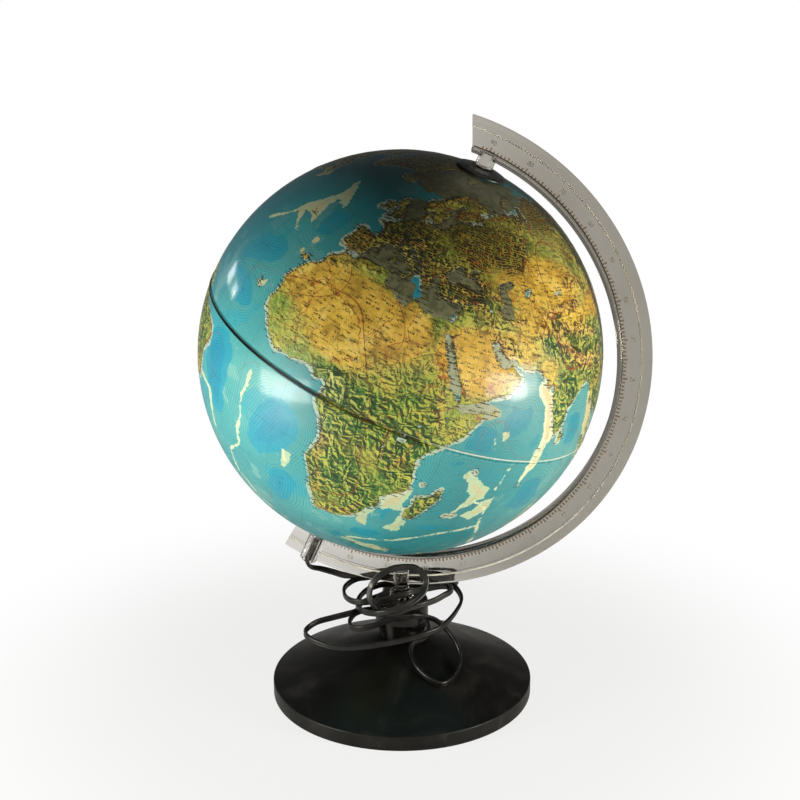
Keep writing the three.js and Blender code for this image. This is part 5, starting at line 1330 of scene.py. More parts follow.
class DESKGLOBE_OT_stage(bpy.types.Operator):
    """Make the camera, the pale floor and backdrop, and soft studio light"""
    bl_idname = "desk_globe.stage"
    bl_label = "Stage"

    def execute(self, context):
        sizes = context.scene.desk_stage
        az, el = sizes.azimuth, sizes.elevation
        back = Vector((math.sin(az) * math.cos(el), -math.cos(az) * math.cos(el), math.sin(el)))
        right = Vector((math.cos(az), math.sin(az), 0))
        up = back.cross(right)
        side = right * math.cos(sizes.roll) + up * math.sin(sizes.roll)
        top = up * math.cos(sizes.roll) - right * math.sin(sizes.roll)
        camera = bpy.data.objects.new("Camera", bpy.data.cameras.new("Camera"))
        camera.data.lens, camera.data.sensor_width = 72.72, 36
        camera.data.shift_x, camera.data.shift_y = -0.0006, -0.0601
        camera.data.clip_end = 60
        place = Matrix((side, top, back)).transposed().to_4x4()
        place.translation = CENTRE + back * sizes.distance
        camera.matrix_world = place
        context.scene.collection.objects.link(camera)
        context.scene.camera = camera
        context.scene.view_settings.view_transform = "Standard"

        turns = [2 * math.pi * k / 96 for k in range(96)]
        rim = [(sizes.floor * math.cos(a), sizes.floor * math.sin(a), 0) for a in turns]
        floor = make("floor", rim, [tuple(range(96))], smooth=False)
        pale = Finish("Pale Floor", roughness=0.7)
        place = pale.place()
        pale.set("Base Color", pale.ramp(pale.noise(place, 3, 3), [(0.3, "E4E3E0"), (0.7, "ECEBE8")]))
        white = pale.node("Emission", {0: (1, 1, 1, 1), 1: 1.0})
        paths = pale.node("LightPath").outputs
        seen = pale.most(paths["Is Camera Ray"], paths["Is Transmission Ray"])
        seen = pale.most(seen, pale.times(paths["Is Glossy Ray"], 0.15))
        distance = pale.node("VectorMath", {0: place}, operation="LENGTH").outputs["Value"]
        share = pale.times(seen, pale.fit(distance, 0.16, 0.42, 0.8, 1.0))
        mixed = pale.node("MixShader", {0: share, 1: pale.surface.outputs[0], 2: white.outputs[0]})
        join(pale.tree, pale.tree.nodes["Material Output"].inputs[0], mixed.outputs[0])
        floor.data.materials.append(pale.material)
        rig.stage(floor)

        world = bpy.data.worlds.new("Studio")
        context.scene.world = world
        world.use_nodes = True
        tree = world.node_tree
        split = add_node(tree, "ShaderNodeSeparateXYZ", {0: add_node(tree, "ShaderNodeTexCoord").outputs["Generated"]})
        ramp = add_node(tree, "ShaderNodeValToRGB", {0: split.outputs["Z"]})
        for element, position, code in zip(ramp.color_ramp.elements, (0.0, 0.75), ("8F8C84", "201F1C")):
            element.position, element.color = position, tint(code)
        soft = tree.nodes["Background"]
        join(tree, soft.inputs["Color"], ramp.outputs[0])
        join(tree, soft.inputs["Strength"], 0.15)
        bright = add_node(tree, "ShaderNodeBackground", {"Color": (1, 1, 1, 1)})
        paths = add_node(tree, "ShaderNodeLightPath").outputs
        either = add_node(tree, "ShaderNodeMath", {0: paths["Is Camera Ray"], 1: paths["Is Transmission Ray"]},
                          operation="MAXIMUM")
        shine = add_node(tree, "ShaderNodeMath", {0: paths["Is Glossy Ray"], 1: 0.08, 2: either.outputs[0]},
                         operation="MULTIPLY_ADD")
        mixed = add_node(tree, "ShaderNodeMixShader", {0: shine.outputs[0], 1: soft.outputs[0], 2: bright.outputs[0]})
        join(tree, tree.nodes["World Output"].inputs[0], mixed.outputs[0])

        for name, spot, wide, tall, power, tone in (
                ("Left Soft Light", (-0.64, -0.58, -0.115), 0.46, 0.16, 7.6, "FCF9EC"),
                ("Right Soft Light", (0.825, -0.29, -0.09), 0.48, 0.20, 7.2, "FFF6E6")):
            for share, size in ((0.48, 1.0), (0.32, 0.66), (0.20, 0.36)):
                area(name, spot, wide * size, tall * size, power * share, tone)
        area("Right Lamp Core", (0.845, -0.235, -0.15), 0.14, 0.12, 1.0, "FFFAF0")
        area("Left Window", (-1.55, 0.77, 0.35), 0.20, 0.15, 0.9, "F2F7FF")
        area("Left Window Lower", (-1.68, 0.43, 0.38), 0.18, 0.12, 0.7, "F2F7FF")
        fill = area("Back Fill", (-0.3, 1.9, 0.1), 1.2, 0.9, 7, "FFF8EC")
        fill.visible_transmission = fill.visible_glossy = False
        area("Front Fill", (0.3, -1.9, 0.5), 1.2, 0.9, 2.2, "FFF8EC")
        return {"FINISHED"}


# ---------- the pieces ----------
def mm(*pairs):
    return [(r * MM, z * MM) for r, z in pairs]


class DESKGLOBE_OT_ball(bpy.types.Operator):
    """Make the two relief halves of the ball and the tape over their seam"""
    bl_idname = "desk_globe.ball"
    bl_label = "Relief Ball"

    def execute(self, context):
        sizes = context.scene.desk_globe
        skin = map_finish(sizes)
        lining = plain_finish("Inner Plastic", "D8D6CC", "E6E4DA", 0.45, scale=60)
        for name, north in (("relief_north", True), ("relief_south", False)):
            half = make_half(name, north, sizes, skin, lining)
            settle(half, "globe", "globe_map", ("north_shell" if north else "south_shell",))
        half_width, outer = sizes.tape_width / 2, sizes.tape_radius
        inner = outer - 0.0004
        profile = rounded([(inner, -half_width), (outer, -half_width), (outer, half_width), (inner, half_width)],
                          [0, 0.00018, 0.00018, 0], 2)
        tape = turned("equator_tape", profile, 720, tape_finish(sizes), ON_AXIS)
        mesh = tape.data
        back = ON_AXIS.inverted()
        local = np.array([tuple(back @ v.co) for v in mesh.vertices])
        lon = (np.degrees(np.arctan2(local[:, 0], -local[:, 1])) + math.degrees(sizes.prime_turn) + 180) % 360 - 180
        for key, values in survey(lon, np.zeros(len(lon))).items():
            mesh.attributes.new(key, "FLOAT", "POINT").data.foreach_set("value", values.astype(np.float32))
        settle(tape, "globe", "seam_tape", ("seam_tape",), 50)
        return {"FINISHED"}


class DESKGLOBE_OT_caps(bpy.types.Operator):
    """Make the black cap on each pole"""
    bl_idname = "desk_globe.caps"
    bl_label = "Pole Caps"

    def execute(self, context):
        sizes = context.scene.desk_globe
        finish = black_finish("Cap Plastic", context.scene.desk_finish.cap_black, 0.26, 0.3, 0.5, 0.45)
        clear = 0.0003
        seat = math.sqrt((BALL_RADIUS + clear) ** 2 - sizes.cap_radius ** 2)
        hole = sizes.pole_hole - clear
        for name, bore, side in (("pole_cap_north", 0.00295, 1), ("pole_cap_south", 0.00535, -1)):
            corners = [(bore, sizes.cap_top), (0.0076, sizes.cap_top), (0.0092, sizes.cap_top - 0.0011),
                       (0.0150, seat + 0.0024), (sizes.cap_radius, seat + 0.0011), (sizes.cap_radius, seat + 0.00005),
                       (0.014, 0.14971), (hole, 0.15003), (hole, 0.14), (bore, 0.14)]
            profile = rounded(corners, [0.0003, 0.0006, 0.001, 0.004, 0.0008, 0.0002, 0, 0.0003, 0.0004, 0.0003])
            cap = turned(name, [(r, side * z) for r, z in profile], 96, finish, ON_AXIS)
            settle(cap, "globe", "black_gloss", ("north_cap" if side > 0 else "south_cap",), 35)
        return {"FINISHED"}


PAINTED_HIGHLIGHT_WIDTH = 0.0012              # width of the painted highlight on the arm's rim step: an opaque pale band in place of the light the edge catches
FIGURE_RADIUS = 0.1706     # distance of the figures' feet from the ball's centre
TOOTH_RADIUS = 0.1647      # distance of the degree teeth's feet
SCREW_CIRCLE = 0.088       # distance of the base's screw posts from its middle


def arm_section(sizes):
    """The arm's section as (radius, distance from its middle plane), from the inner edge round."""
    inner, outer = sizes.arm_inner, sizes.arm_outer
    flange, rim, web = sizes.flange_width / 2, sizes.rim_thickness / 2, sizes.web / 2
    step, shoulder = inner + sizes.flange_depth, outer - sizes.rim_depth
    corners = [(inner, -flange), (inner, flange), (step, flange), (step, web), (shoulder, web), (shoulder, rim),
               (outer, rim), (outer, -rim), (shoulder + PAINTED_HIGHLIGHT_WIDTH, -rim), (shoulder, -rim), (shoulder, -web),
               (step, -web), (step, -flange)]
    radii = [0.0006, 0.0006, 0.0005, 0.0009, 0.0004, 0.0003, 0.0003, 0.0003, 0, 0.0005, 0.0002, 0.0009, 0.0005]
    return rounded(corners, radii, 3)


def degree_marks(sizes, finish):
    """A row of small raised teeth every degree along the front of the web, longer every fifth and tenth."""
    tree = bpy.data.node_groups.new("Degree Marks", "GeometryNodeTree")
    face = tree.interface
    face.new_socket("Geometry", in_out="OUTPUT", socket_type="NodeSocketGeometry")
    face.new_socket("Geometry", in_out="INPUT", socket_type="NodeSocketGeometry")
    values = {}
    for key, value in (("Count", 184), ("First Angle", TILT - math.radians(2)), ("Step Angle", math.radians(1)),
                       ("Start Radius", TOOTH_RADIUS), ("Tooth Length", 0.0022), ("Tooth Width", 0.0013),
                       ("Tooth Height", 0.00025), ("Web", sizes.web)):
        kind = "NodeSocketInt" if isinstance(value, int) else "NodeSocketFloat"
        values[face.new_socket(key, in_out="INPUT", socket_type=kind).identifier] = value

    def add(kind, inputs=(), **settings):
        return add_node(tree, kind, inputs, **settings).outputs[0]

    def calc(operation, a, b=0.0):
        return add("ShaderNodeMath", {0: a, 1: b}, operation=operation)

    def vector(x, y, z):
        return add("ShaderNodeCombineXYZ", {0: x, 1: y, 2: z})

    count, first, step, start, long, wide, tall, web = tree.nodes.new("NodeGroupInput").outputs[1:9]
    index = add("GeometryNodeInputIndex")
    turn = calc("ADD", first, calc("MULTIPLY", index, step))
    place = vector(calc("MULTIPLY", calc("SINE", turn), start), 0.0,
                   calc("ADD", calc("MULTIPLY", calc("COSINE", turn), start), CENTRE.z))
    points = add("GeometryNodePoints", {"Count": count, "Position": place, "Radius": 0.001})
    tooth = add("GeometryNodeMeshCube", {"Size": vector(wide, tall, long)})
    shift = calc("SUBTRACT", calc("MULTIPLY", calc("ADD", web, tall), -0.5), 0.00002)
    moved = add("GeometryNodeTransform",
                {"Geometry": tooth, "Translation": vector(0.0, shift, calc("MULTIPLY", long, 0.5))})
    fifth = calc("LESS_THAN", calc("MODULO", calc("ADD", index, 3.01), 5), 0.5)
    tenth = calc("LESS_THAN", calc("MODULO", calc("ADD", index, 8.01), 10), 0.5)
    reach = calc("ADD", calc("ADD", 1.0, calc("MULTIPLY", fifth, 0.35)), calc("MULTIPLY", tenth, 0.35))
    row = add("GeometryNodeInstanceOnPoints", {"Points": points, "Instance": moved, "Rotation": vector(0.0, turn, 0.0),
                                               "Scale": vector(1.0, 1.0, reach)})
    real = add("GeometryNodeRealizeInstances", {0: row})
    done = add("GeometryNodeSetMaterial", {"Geometry": real, "Material": finish})
    join(tree, tree.nodes.new("NodeGroupOutput").inputs[0], done)
    piece = make("degree_marks", [(0, 0, 0)], [])
    change = piece.modifiers.new("Degree Marks", "NODES")
    change.node_group = tree
    for key, value in values.items():
        change[key] = value
    return piece


def numerals(sizes, finish):
    """Raised figures every ten degrees along the web, from 90 at the pole to 0 and back to 90."""
    shape = bmesh.new()
    for k in range(19):
        text = bpy.data.curves.new("Figure", "FONT")
        text.body = str(abs(90 - 10 * k))
        text.size, text.extrude = 0.0046, 0.0001
        text.align_x = "CENTER"
        text.resolution_u = 3
        letter = add_object("Figure", text)
        mesh = evaluated(letter)
        bpy.data.objects.remove(letter)
        a = TILT + math.radians(10 * k)
        out = Vector((math.sin(a), 0, math.cos(a)))
        along = Vector((math.cos(a), 0, -math.sin(a)))
        place = Matrix((along, out, Vector((0, -1, 0)))).transposed().to_4x4()
        place.translation = CENTRE + out * FIGURE_RADIUS + Vector((0, -sizes.web / 2 - 0.00008, 0))
        mesh.transform(place)
        shape.from_mesh(mesh)
        bpy.data.meshes.remove(mesh)
    mesh = bpy.data.meshes.new("degree_figures")
    shape.to_mesh(mesh)
    shape.free()
    mesh.materials.append(finish)
    return add_object("degree_figures", mesh)


class DESKGLOBE_OT_arm(bpy.types.Operator):
    """Make the clear meridian arm with its bosses, degree teeth and figures"""
    bl_idname = "desk_globe.arm"
    bl_label = "Meridian Arm"

    def execute(self, context):
        sizes = context.scene.desk_stand
        clear = context.scene.desk_finish.clear
        # the arm's plastic, and its outer edge below, take painted light: a tint paler towards the south end
        finish = clear_finish("Clear Arm", clear, pale="D6D3CD")
        section = arm_section(sizes)
        tip = sizes.arm_outer * math.sin(TILT - sizes.past_pole)
        end = TILT + math.pi + sizes.past_lead
        first = math.radians(20)
        turns = [None] + list(np.linspace(first, end, 250))
        points = []
        for turn in turns:
            for radius, y in section:
                a = math.asin(tip / radius) if turn is None else turn
                points.append(CENTRE + Vector((radius * math.sin(a), y, radius * math.cos(a))))
        arm = outwards(make("clear_arm", points, tube_faces(len(turns), len(section)), finish))
        # the last of these is a painted highlight: an opaque pale finish for the front of the rim step
        for other in (clear_finish("Clear Arm Flange", tuple(c * 0.46 for c in clear), 0.08),
                      clear_finish("Clear Arm Edge", clear, 0.1, "D6D3CD", 1.03),
                      plain_finish("Clear Arm Painted Highlight", "ACA99D", "DEDBD0", 0.3, scale=90)):
            arm.data.materials.append(other)
        for side in arm.data.polygons:
            out = math.hypot(side.center.x, side.center.z - CENTRE.z)
            # painted highlight: the front faces of the rim step take the opaque pale finish
            if side.normal.y < -0.2 and -0.0001 < out - sizes.arm_outer + sizes.rim_depth < PAINTED_HIGHLIGHT_WIDTH:
                side.material_index = 3
            elif out < sizes.arm_inner + sizes.flange_depth * 0.9:
                side.material_index = 1
            elif out > sizes.arm_outer - 0.0004:
                side.material_index = 2
        r = sizes.boss_radius / MM
        pole_boss = rounded(mm((0, 144.95), (2.6, 144.95), (2.6, 153.95), (r, 153.95), (r, 163.6), (0, 163.6)),
                            [0, .0004, 0, .0005, 0, 0], 3)
        lead_boss = rounded(mm((0, -188), (r, -188), (r, -153.95), (0, -153.95)), [0, .0007, .0005, 0], 3)
        foot_boss = mm((0, 88.5), (6.4, 88.5), (6.4, 100.1), (6.0, 100.5), (0, 100.5))
        tube_hole = mm((0, -166.5), (5.3, -166.5), (5.3, -150), (0, -150))
        lead_hole = mm((0, -190), (3.6, -190), (3.6, -165), (0, -165))
        foot_hole = mm((0, 86), (4.9, 86), (4.9, 98.8), (0, 98.8))
        for outline, place, operation in (
                (pole_boss, ON_AXIS, "UNION"), (lead_boss, ON_AXIS, "UNION"), (foot_boss, Matrix(), "UNION"),
                (tube_hole, ON_AXIS, "DIFFERENCE"), (lead_hole, ON_AXIS, "DIFFERENCE"),
                (foot_hole, Matrix(), "DIFFERENCE")):
            carve(arm, turned("Tool", outline, 64, finish, place), operation)
        settle(arm, "stand", "clear_acrylic", ("meridian_arm",), 28)
        inlay = clear_finish("Arm Teeth", (0.57, 0.46, 0.34), 0.3, None, 1.08)
        faint = plain_finish("Arm Figures", "8B877C", "979388", 0.4, scale=700)
        settle(degree_marks(sizes, inlay), "stand", "clear_acrylic", ("meridian_arm",))
        settle(numerals(sizes, faint), "stand", "clear_acrylic", ("meridian_arm",))
        return {"FINISHED"}


class DESKGLOBE_OT_foot(bpy.types.Operator):
    """Make the fluted clear foot between the arm and the stem"""
    bl_idname = "desk_globe.foot"
    bl_label = "Clear Foot"

    def execute(self, context):
        sizes = context.scene.desk_stand
        finish = clear_finish("Clear Foot Plastic", context.scene.desk_finish.clear, 0.03)
        low = STEM_TOP + 0.0003
        z = low / MM
        profile = rounded(mm((2.3, z - 16.3), (7, z - 16.3), (7, z), (8.4, z), (10.25, z + 3.0), (9.6, z + 5.2),
                             (6.6, z + 7.6), (4.6, z + 10), (4.6, 98.5), (0, 98.5), (0, 73.2), (2.3, 73.2)),
                          [.0003, .0005, 0, .0005, .0012, .0016, .0016, .0012, .0006, 0, 0, 0], 4)

        def flutes(radius, height, a):
            share = min(1, max(0, (height - low) / 0.0015)) if radius > 0.003 else 0
            return radius * (1 - share * 0.10 * (0.5 - 0.5 * math.cos(sizes.flutes * a)) ** 0.6)

        foot = turned("fluted_foot", profile, sizes.flutes * 14, finish, ripple=flutes)
        settle(foot, "stand", "clear_acrylic", ("clear_foot",), 30)
        return {"FINISHED"}


class DESKGLOBE_OT_base(bpy.types.Operator):
    """Make the black stem and the weighted conical base, and finish what is under it"""
    bl_idname = "desk_globe.base"
    bl_label = "Stem and Base"

    def execute(self, context):
        sizes = context.scene.desk_stand
        colours = context.scene.desk_finish
        gloss = black_finish("Stem Plastic", colours.gloss_black, 0.16, 0.15, 0.4, 0.25, 0.1, 0.35)
        stem = rounded(mm((13.5, 45.6), (16.5, 45.6), (20.5, 61), (20.5, 77.2), (7.3, 77.2), (7.3, 60.9),
                          (2.3, 60.9), (2.3, 57.9), (16.7, 57.9)),
                       [.0003, .0006, .003, sizes.stem_bevel, .0006, 0, 0, 0, .001], 7)
        settle(turned("stem_cup", stem, 144, gloss), "stand", "black_gloss", ("stem",), 35)
        under = CONE_TOP - 2.6
        cone = rounded(mm((98.2, .8), (RIM_RADIUS, .8), (RIM_RADIUS, RIM_TOP), (CONE_INNER, CONE_TOP), (2.3, CONE_TOP),
                          (2.3, under), (15.5, under - .6), (98.2, 9.4)),
                       [.0003, .0006, sizes.base_bevel, .0008, .0003, 0, .001, .001], 5)
        dull = black_finish("Base Plastic", colours.gloss_black, 0.3, 0.45, 0.6, 0.08, 0.1, 0.28)
        shell = turned("base_cone", cone, 240, dull)
        shape = bmesh.new()
        shape.from_mesh(shell.data)
        for k in range(4):
            a = math.pi * (0.5 * k + 0.25)
            post = turned("Post", mm((1.9, 3.8), (4, 3.8), (4, 14.6), (1.9, 14.6)), 24, None,
                          Matrix.Translation((SCREW_CIRCLE * math.cos(a), SCREW_CIRCLE * math.sin(a), 0)))
            shape.from_mesh(post.data)
            bpy.data.objects.remove(post)
        shape.to_mesh(shell.data)
        shape.free()
        settle(shell, "stand", "black_gloss", ("base_shell",), 30)
        felt = rounded(mm((0, 0), (96.8, 0), (96.8, 1), (0, 1)), [0, .00035, .00035, 0], 4)
        settle(turned("felt_disc", felt, 200, felt_finish(colours.felt)), "stand", "felt", ("felt_pad",), 50)
        plate = plain_finish("Bottom Plate Plastic", "202021", "2B2B2C", 0.45)
        steel = plain_finish("Zinc Steel", "9EA1A4", "BBBEC2", 0.3, 1.0, 300)
        white = plain_finish("Lamp Plastic", "D9D7CE", "E8E6DE", 0.38, scale=80)
        brass = plain_finish("Lamp Brass", "B8924A", "D0AE6C", 0.3, 1.0, 260)
        iron = plain_finish("Cast Iron", "2E2E2F", "4A4947", 0.65, 0.6, 240)
        glass = plain_finish("Opal Glass", "F1ECE0", "F8F5EC", 0.25, scale=40, transmission_weight=0.3)
        for finish, nodes in ((plate, ("bottom_plate",)), (iron, ("ballast",)), (glass, ("bulb_glass",)),
                              (steel, ("tie_screw", "tie_washer", "lamp_tube")), (brass, ("screw_contact", "bulb_cap")),
                              (steel, ("base_screw_1", "base_screw_2", "base_screw_3", "base_screw_4")),
                              (white, ("thrust_washer", "lamp_holder", "joint_ring")),
                              (white, ("north_retainer", "south_retainer"))):
            for node in nodes:
                dress(node, finish)
        return {"FINISHED"}


# ---------- the flex, its switch and its plug ----------
LEAD_POINTS = [
    (-75.2, 0, 101.8), (-75.8, 1, 98.2), (-73.2, 2.8, 94.6), (-66.5, 5, 92.8),
    (-56.5, 6, 90.5), (-46, 6, 88.5), (-27, 13, 88.5), (-10, 20, 87), (8, 24, 86),
    (22, 27.5, 84), (33, 26, 80.5), (40, 22, 77), (45, 12, 73.5), (43, 1, 69),
    (39, -12, 66), (33.5, -23, 64), (25.5, -31, 63), (16, -36.5, 61), (0.5, -43.5, 59),
    (-16, -49.5, 57), (-36, -52, 55), (-54, -50, 56.5), (-64.5, -44, 58.5), (-68, -33, 58),
    (-62.5, -24, 60.5), (-51, -17, 62.5), (-41.5, -12, 64), (-35.5, -5, 64), (-33.5, 6, 66),
    (-24.5, 20, 66), (-10, 30.5, 69), (4, 33, 72.5), (16, 31.5, 74.5), (26, 31.5, 75),
    (33, 34.5, 75), (36, 41, 75.5), (33, 47.5, 76.5), (25, 51, 77), (10, 49.5, 78),
    (-5, 43, 79.5), (-16, 34.5, 81), (-25, 27, 81.5), (-33, 22, 81), (-39, 16, 82),
    (-44, 7, 81.5), (-45.5, -2, 80.5), (-43, -9, 78), (-35, -18, 78.5), (-27.5, -21, 79.5),
    (-18, -20, 80.5), (-9.5, -19, 82), (0.5, -16, 85), (8.5, -12, 87), (12.2, -6.2, 86),
    (16, 1, 84.5), (20.5, 9, 82.5), (28, 13, 83), (32.5, 15, 82.5), (37.5, 10, 83.5),
    (38, 1, 84.5), (34, -6, 84), (29.5, -11, 82.5), (21.5, -21, 82.5), (13.5, -27, 81.5),
    (5.5, -31, 79), (-2, -32, 77), (-9, -31, 77.5), (-15, -29, 81), (-18.5, -28, 86),
    (-19, -27, 91.5), (-17.5, -26.5, 97), (-13.5, -25, 102.5), (-8, -23.5, 107), (-1, -22, 110.5),
    (8, -21, 112), (15, -20, 111.5), (20.5, -20, 107.5), (23.5, -20.5, 103), (23.5, -22, 98),
    (22, -26, 94), (17.5, -32, 90.5), (9.5, -38, 87), (1.5, -40.5, 84), (-7, -40, 81),
    (-18.5, -34, 77.5), (-26.5, -25, 75), (-32.5, -13, 73), (-33.5, -1, 74), (-30, 11, 75.5),
    (-19.5, 21.5, 76.5), (-6, 25, 75), (4, 26, 69.5), (9, 24, 62), (11, 21.5, 55),
    (18, 12.5, 50.5), (21.6, 0.5, 50), (20.5, -12.5, 50.5), (14.5, -21.5, 50.5), (13, -26.5, 47),
    (15, -32.5, 43.5), (21.5, -40.5, 38), (31, -46, 33.5), (40.5, -46.5, 30.5), (47, -38, 31),
    (50, -26, 34), (50, -17, 39.5), (46.5, -12, 46), (41.5, -9, 52), (35.5, -6, 57),
    (28.8, -4.8, 62), (22, -12.5, 68), (12.8, -21.5, 72), (-1.5, -24.8, 70), (-14, -28, 65),
    (-25.5, -29, 61.5), (-33.5, -25, 59.5), (-38, -15.5, 58.5), (-39, -6.5, 58.5), (-37.5, 1, 59),
    (-33, 10, 58), (-25, 20, 55), (-14.5, 26, 51.5), (-9, 30.5, 49),
]


def switch_frame():
    """The switch's own frame: X runs down the base's slope away from the stem, Z stands off the slope."""
    slope = math.atan((CONE_TOP - RIM_TOP) / (RIM_RADIUS - CONE_INNER))
    away = BACKWARDS * math.cos(slope)
    away.z = -math.sin(slope)
    side = Vector((0, 0, 1)).cross(away).normalized()
    top = away.cross(side)
    rest = behind(36, CONE_TOP - (36 - CONE_INNER) * math.tan(slope))
    place = Matrix((away, side, top)).transposed().to_4x4()
    place.translation = rest + top * 0.0004
    return place


def behind(distance, height):
    """A point behind the stem, from millimetres."""
    place = BACKWARDS * (distance * MM)
    place.z = height * MM
    return place


def stadium(length, width, inset=0.0, steps=14):
    """Outline of a slab with round ends, its near end at X 0."""
    r = width / 2
    out = []
    for centre, start in ((length - r, -math.pi / 2), (r, math.pi / 2)):
        for k in range(steps + 1):
            a = start + math.pi * k / steps
            out.append((centre + (r - inset) * math.cos(a), (r - inset) * math.sin(a)))
    return out


def layered(name, layers, finish, place):
    """A solid through a stack of (outline, height) layers with as many points each."""
    points = [place @ Vector((x, y, height)) for outline, height in layers for x, y in outline]
    return outwards(make(name, points, tube_faces(len(layers), len(layers[0][0])), finish))


def block(name, size, centre, place):
    """A square cutting tool."""
    x, y, z = (s / 2 for s in size)
    outline = [(centre[0] + i * x, centre[1] + j * y) for i, j in ((-1, -1), (1, -1), (1, 1), (-1, 1))]
    return layered(name, [(outline, centre[2] - z), (outline, centre[2] + z)], None, place)


def make_switch(finish):
    """The two halves of the in-line switch's body and its rocker."""
    place = switch_frame()

    def ring(inset, height):
        return stadium(SWITCH_LENGTH, SWITCH_WIDTH, inset), height

    corner = 0.0018
    quarter = [(corner * (1 - math.cos(a)), corner * math.sin(a)) for a in (math.pi / 2 * k / 5 for k in range(6))]
    low = [ring(e, corner - h) for e, h in reversed(quarter)] + [ring(0, 0.0071), ring(0.0003, 0.00735)]
    high = [ring(0.0003, 0.00765), ring(0, 0.0079)] + [ring(e, 0.0132 + h) for e, h in quarter]
    base = layered("switch_lower", low, finish, place)
    cover = layered("switch_upper", high, finish, place)
    carve(cover, block("Well", (0.0136, 0.0088, 0.01), (ROCKER_PLACE, 0, 0.0140), place))
    for x in (0.0065, 0.0395):
        screw_hole = mm((0, -1), (2.4, -1), (2.4, 1.7), (0, 1.7))
        carve(base, turned("Hole", screw_hole, 24, None, place @ Matrix.Translation((x, 0, 0))))
    half, rise, drop, pin = 0.0062, 0.0022, 0.0045, 0.01235
    outline = [(-half, rise), (-half, -drop / 2), (-half * 0.4, -drop), (half * 0.4, -drop), (half, -drop / 2),
               (half, rise), (0, rise - 0.0009)]
    outline = rounded(outline, 0.0006, 3)
    lean = place @ Matrix.Translation((ROCKER_PLACE, 0, pin)) @ Matrix.Rotation(math.radians(8), 4, "Y")
    lean = lean @ Matrix.Rotation(math.pi / 2, 4, "X")
    shift = 0.015 - pin
    layers = [([(x * s, y * s + shift) for x, y in outline], w)
              for s, w in ((0.94, -0.0038), (1, -0.0035), (1, 0.0035), (0.94, 0.0038))]
    rocker = layered("rocker_key", layers, plain_finish("Rocker Plastic", "141414", "1D1C1B", 0.3, scale=200), lean)
    return base, cover, rocker


def make_plug(finish):
    """The moulded plug with its ribbed strain relief, lying on the table."""
    place = Matrix.Translation(behind(PLUG_DISTANCE, PLUG_HEIGHT))
    place = place @ Matrix.Rotation(math.atan2(BACKWARDS.y, BACKWARDS.x), 4, "Z")
    lengthwise = Matrix.Rotation(math.pi / 2, 4, "Y")
    layers = []
    for x, half, thick in ((0.0, 5.0, 4.6), (0.5, 5.6, 5.2), (3, 7.4, 5.9), (8, 11.0, 6.4), (13, 14.6, 6.7),
                           (17, 16.6, 6.8), (20, 17, 6.8), (31.4, 17, 6.8), (32.5, 16.6, 6.5), (33, 15.6, 5.8)):
        power = 0.45 if x > 5 else 0.8
        ring = []
        for k in range(48):
            a = 2 * math.pi * k / 48
            c, s = math.cos(a), math.sin(a)
            ring += mm((math.copysign(abs(c) ** power, c) * half, math.copysign(abs(s) ** power, s) * thick))
        layers.append((ring, x * MM))
    upright = place @ Matrix(((0, 0, 1, 0), (1, 0, 0, 0), (0, 1, 0, 0), (0, 0, 0, 1)))
    body = layered("plug_moulding", layers, finish, upright)
    ribs = [(0, 0.6)]
    for k in range(7):
        x = 0.4 - k * 2.75
        r = 5.1 - k * 0.27
        ribs += [(r, x), (r, x - 1.6), (r - 0.75, x - 1.9), (r - 0.75, x - 2.6)]
    ribs += [(3.1, -19.3), (0, -19.4)]
    relief = rounded(mm(*ribs), [0] + [0.0003] * (len(ribs) - 2) + [0], 2)
    sleeve = turned("plug_relief", relief, 48, finish, place @ lengthwise)
    spots = {side: place @ Matrix.Translation((0, side * PIN_SPREAD, 0)) @ lengthwise for side in (-1, 1)}
    for spot in spots.values():
        carve(body, turned("Bore", mm((0, 23.7), (2.3, 23.7), (2.3, 34), (0, 34)), 32, None, spot))
    pins = []
    for side, name in ((1, "left"), (-1, "right")):
        pin = rounded(mm((0, 24), (2, 24), (2, 51.9), (0, 51.9)), [0, .0003, .0012, 0], 5)
        brass = plain_finish("Pin Brass " + name, "B99A58", "D6BC84", 0.22, 1.0, 300)
        pins.append(turned("pin_" + name, pin, 40, brass, spots[side]))
    return body, sleeve, pins


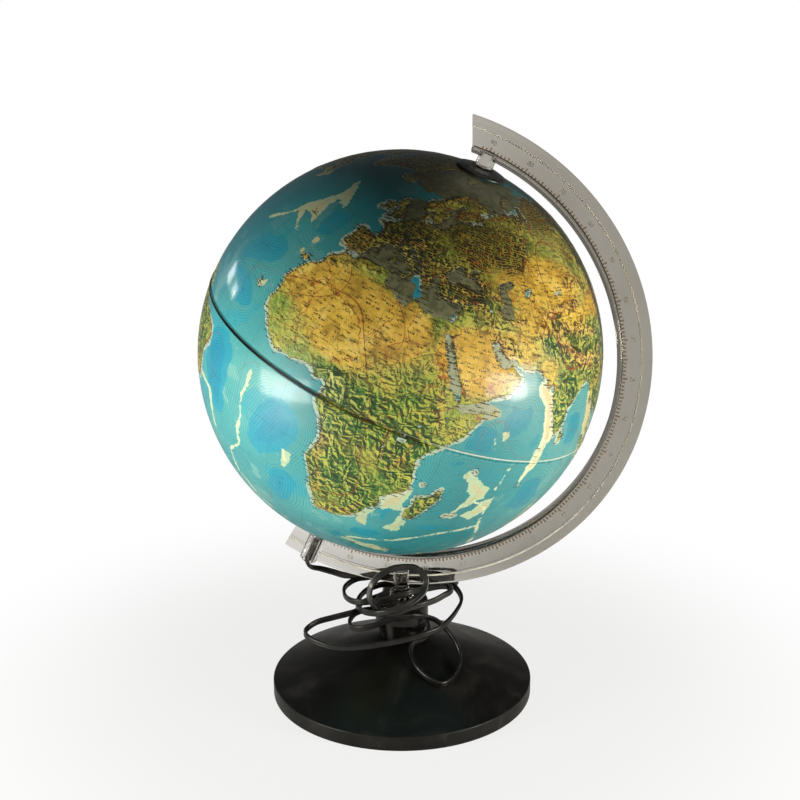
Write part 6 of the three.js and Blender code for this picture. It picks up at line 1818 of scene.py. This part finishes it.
class DESKGLOBE_OT_flex(bpy.types.Operator):
    """Make the flat flex, its in-line switch and its plug"""
    bl_idname = "desk_globe.flex"
    bl_label = "Flex, Switch and Plug"

    def execute(self, context):
        sizes = context.scene.desk_flex
        finish = flex_finish(context.scene.desk_finish.flex_black)
        moulded = black_finish("Switch Plastic", context.scene.desk_finish.flex_black, 0.36, 0.3, 0.2, 0.2, 0.4)
        base, cover, rocker = make_switch(moulded)
        body, sleeve, pins = make_plug(moulded)
        place = switch_frame()

        def level(x):
            return place @ Vector((x, 0, ENTRY_HEIGHT))

        route = [Vector(p) * MM for p in LEAD_POINTS] + [level(-0.0045), level(-0.0003)]
        line, total = evenly(through(route, 12), 0.0019)
        lead = sweep_flex("flex_to_lamp", line, sizes, finish)
        route = [level(SWITCH_LENGTH + 0.0003), level(0.052), behind(94.8, 21), behind(101.8, 16.5),
                 behind(106.8, 9.5), behind(110.5, 7.3), behind(112.2, PLUG_HEIGHT)]
        tail, tail_total = evenly(through(route, 12), 0.0012)
        short = sweep_flex("flex_to_plug", tail, sizes, finish)
        inner = [ON_AXIS @ Vector((0, 0, z * MM)) for z in np.linspace(-187.7, -38.4, 40)]
        inside = sweep_flex("flex_inside", inner, sizes, finish)
        for piece, moves_with, slot, node in (
                (base, "stand", "dark_plastic", "switch_base"), (cover, "stand", "dark_plastic", "switch_cover"),
                (rocker, "rocker", "rocker_plastic", "switch_rocker"), (body, "stand", "dark_plastic", "plug_body"),
                (sleeve, "stand", "dark_plastic", "plug_body"), (pins[0], "stand", "brass", "plug_pin_left"),
                (pins[1], "stand", "brass", "plug_pin_right"), (lead, "stand", "flex", "lead_lamp_side"),
                (short, "stand", "flex", "lead_plug_side"), (inside, "stand", "flex", "inner_lead")):
            settle(piece, moves_with, slot, (node,), 35)
        steel = plain_finish("Small Screw Steel", "8F9194", "B4B7BB", 0.32, 1.0, 400)
        small = ("rocker_pin", "switch_screw_1", "switch_screw_2")
        for node in small:
            dress(node, steel)
        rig.cord(lead, exit=line[0], length=total, diameter=sizes.width, far_end="fitting", stiffness="medium",
                lay="loose", path=line, with_pieces=[base, cover, rocker] + [frame["nodes"][name] for name in small])
        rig.cord(short, exit=tail[0], length=tail_total, diameter=sizes.width, far_end="plug", stiffness="medium",
                lay="loose", path=tail, with_pieces=[body, sleeve] + pins)
        return {"FINISHED"}


class DESKGLOBE_PT_panel(bpy.types.Panel):
    """The globe's pieces, in the order in which they are made"""
    bl_idname = "DESKGLOBE_PT_panel"
    bl_label = "Desk Globe"
    bl_space_type = "VIEW_3D"
    bl_region_type = "UI"
    bl_category = "Desk Globe"

    def draw(self, context):
        for operator in OPERATORS:
            self.layout.operator(operator.bl_idname)


OPERATORS = (DESKGLOBE_OT_stage, DESKGLOBE_OT_flex, DESKGLOBE_OT_ball, DESKGLOBE_OT_caps, DESKGLOBE_OT_arm,
             DESKGLOBE_OT_foot, DESKGLOBE_OT_base)
GROUPS = {"desk_globe": GlobeSizes, "desk_stand": StandSizes, "desk_flex": FlexSizes, "desk_stage": StageSizes,
          "desk_finish": Finishes}


def register():
    for kind in (*GROUPS.values(), *OPERATORS, DESKGLOBE_PT_panel):
        bpy.utils.register_class(kind)
    for name, group in GROUPS.items():
        setattr(bpy.types.Scene, name, PointerProperty(type=group))


def unregister():
    for name in GROUPS:
        delattr(bpy.types.Scene, name)
    for kind in reversed((*GROUPS.values(), *OPERATORS, DESKGLOBE_PT_panel)):
        bpy.utils.unregister_class(kind)


def main():
    register()
    for operator in OPERATORS:
        group, name = operator.bl_idname.split(".")
        getattr(getattr(bpy.ops, group), name)()
    box = {"cad": [[float(v) for v in corner] for corner in CAD_BOX], "visual": [[float(v) for v in corner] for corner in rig.bounds()]}
    with open("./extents.json", "w") as out:
        json.dump(box, out)


if __name__ == "__main__":
    main()
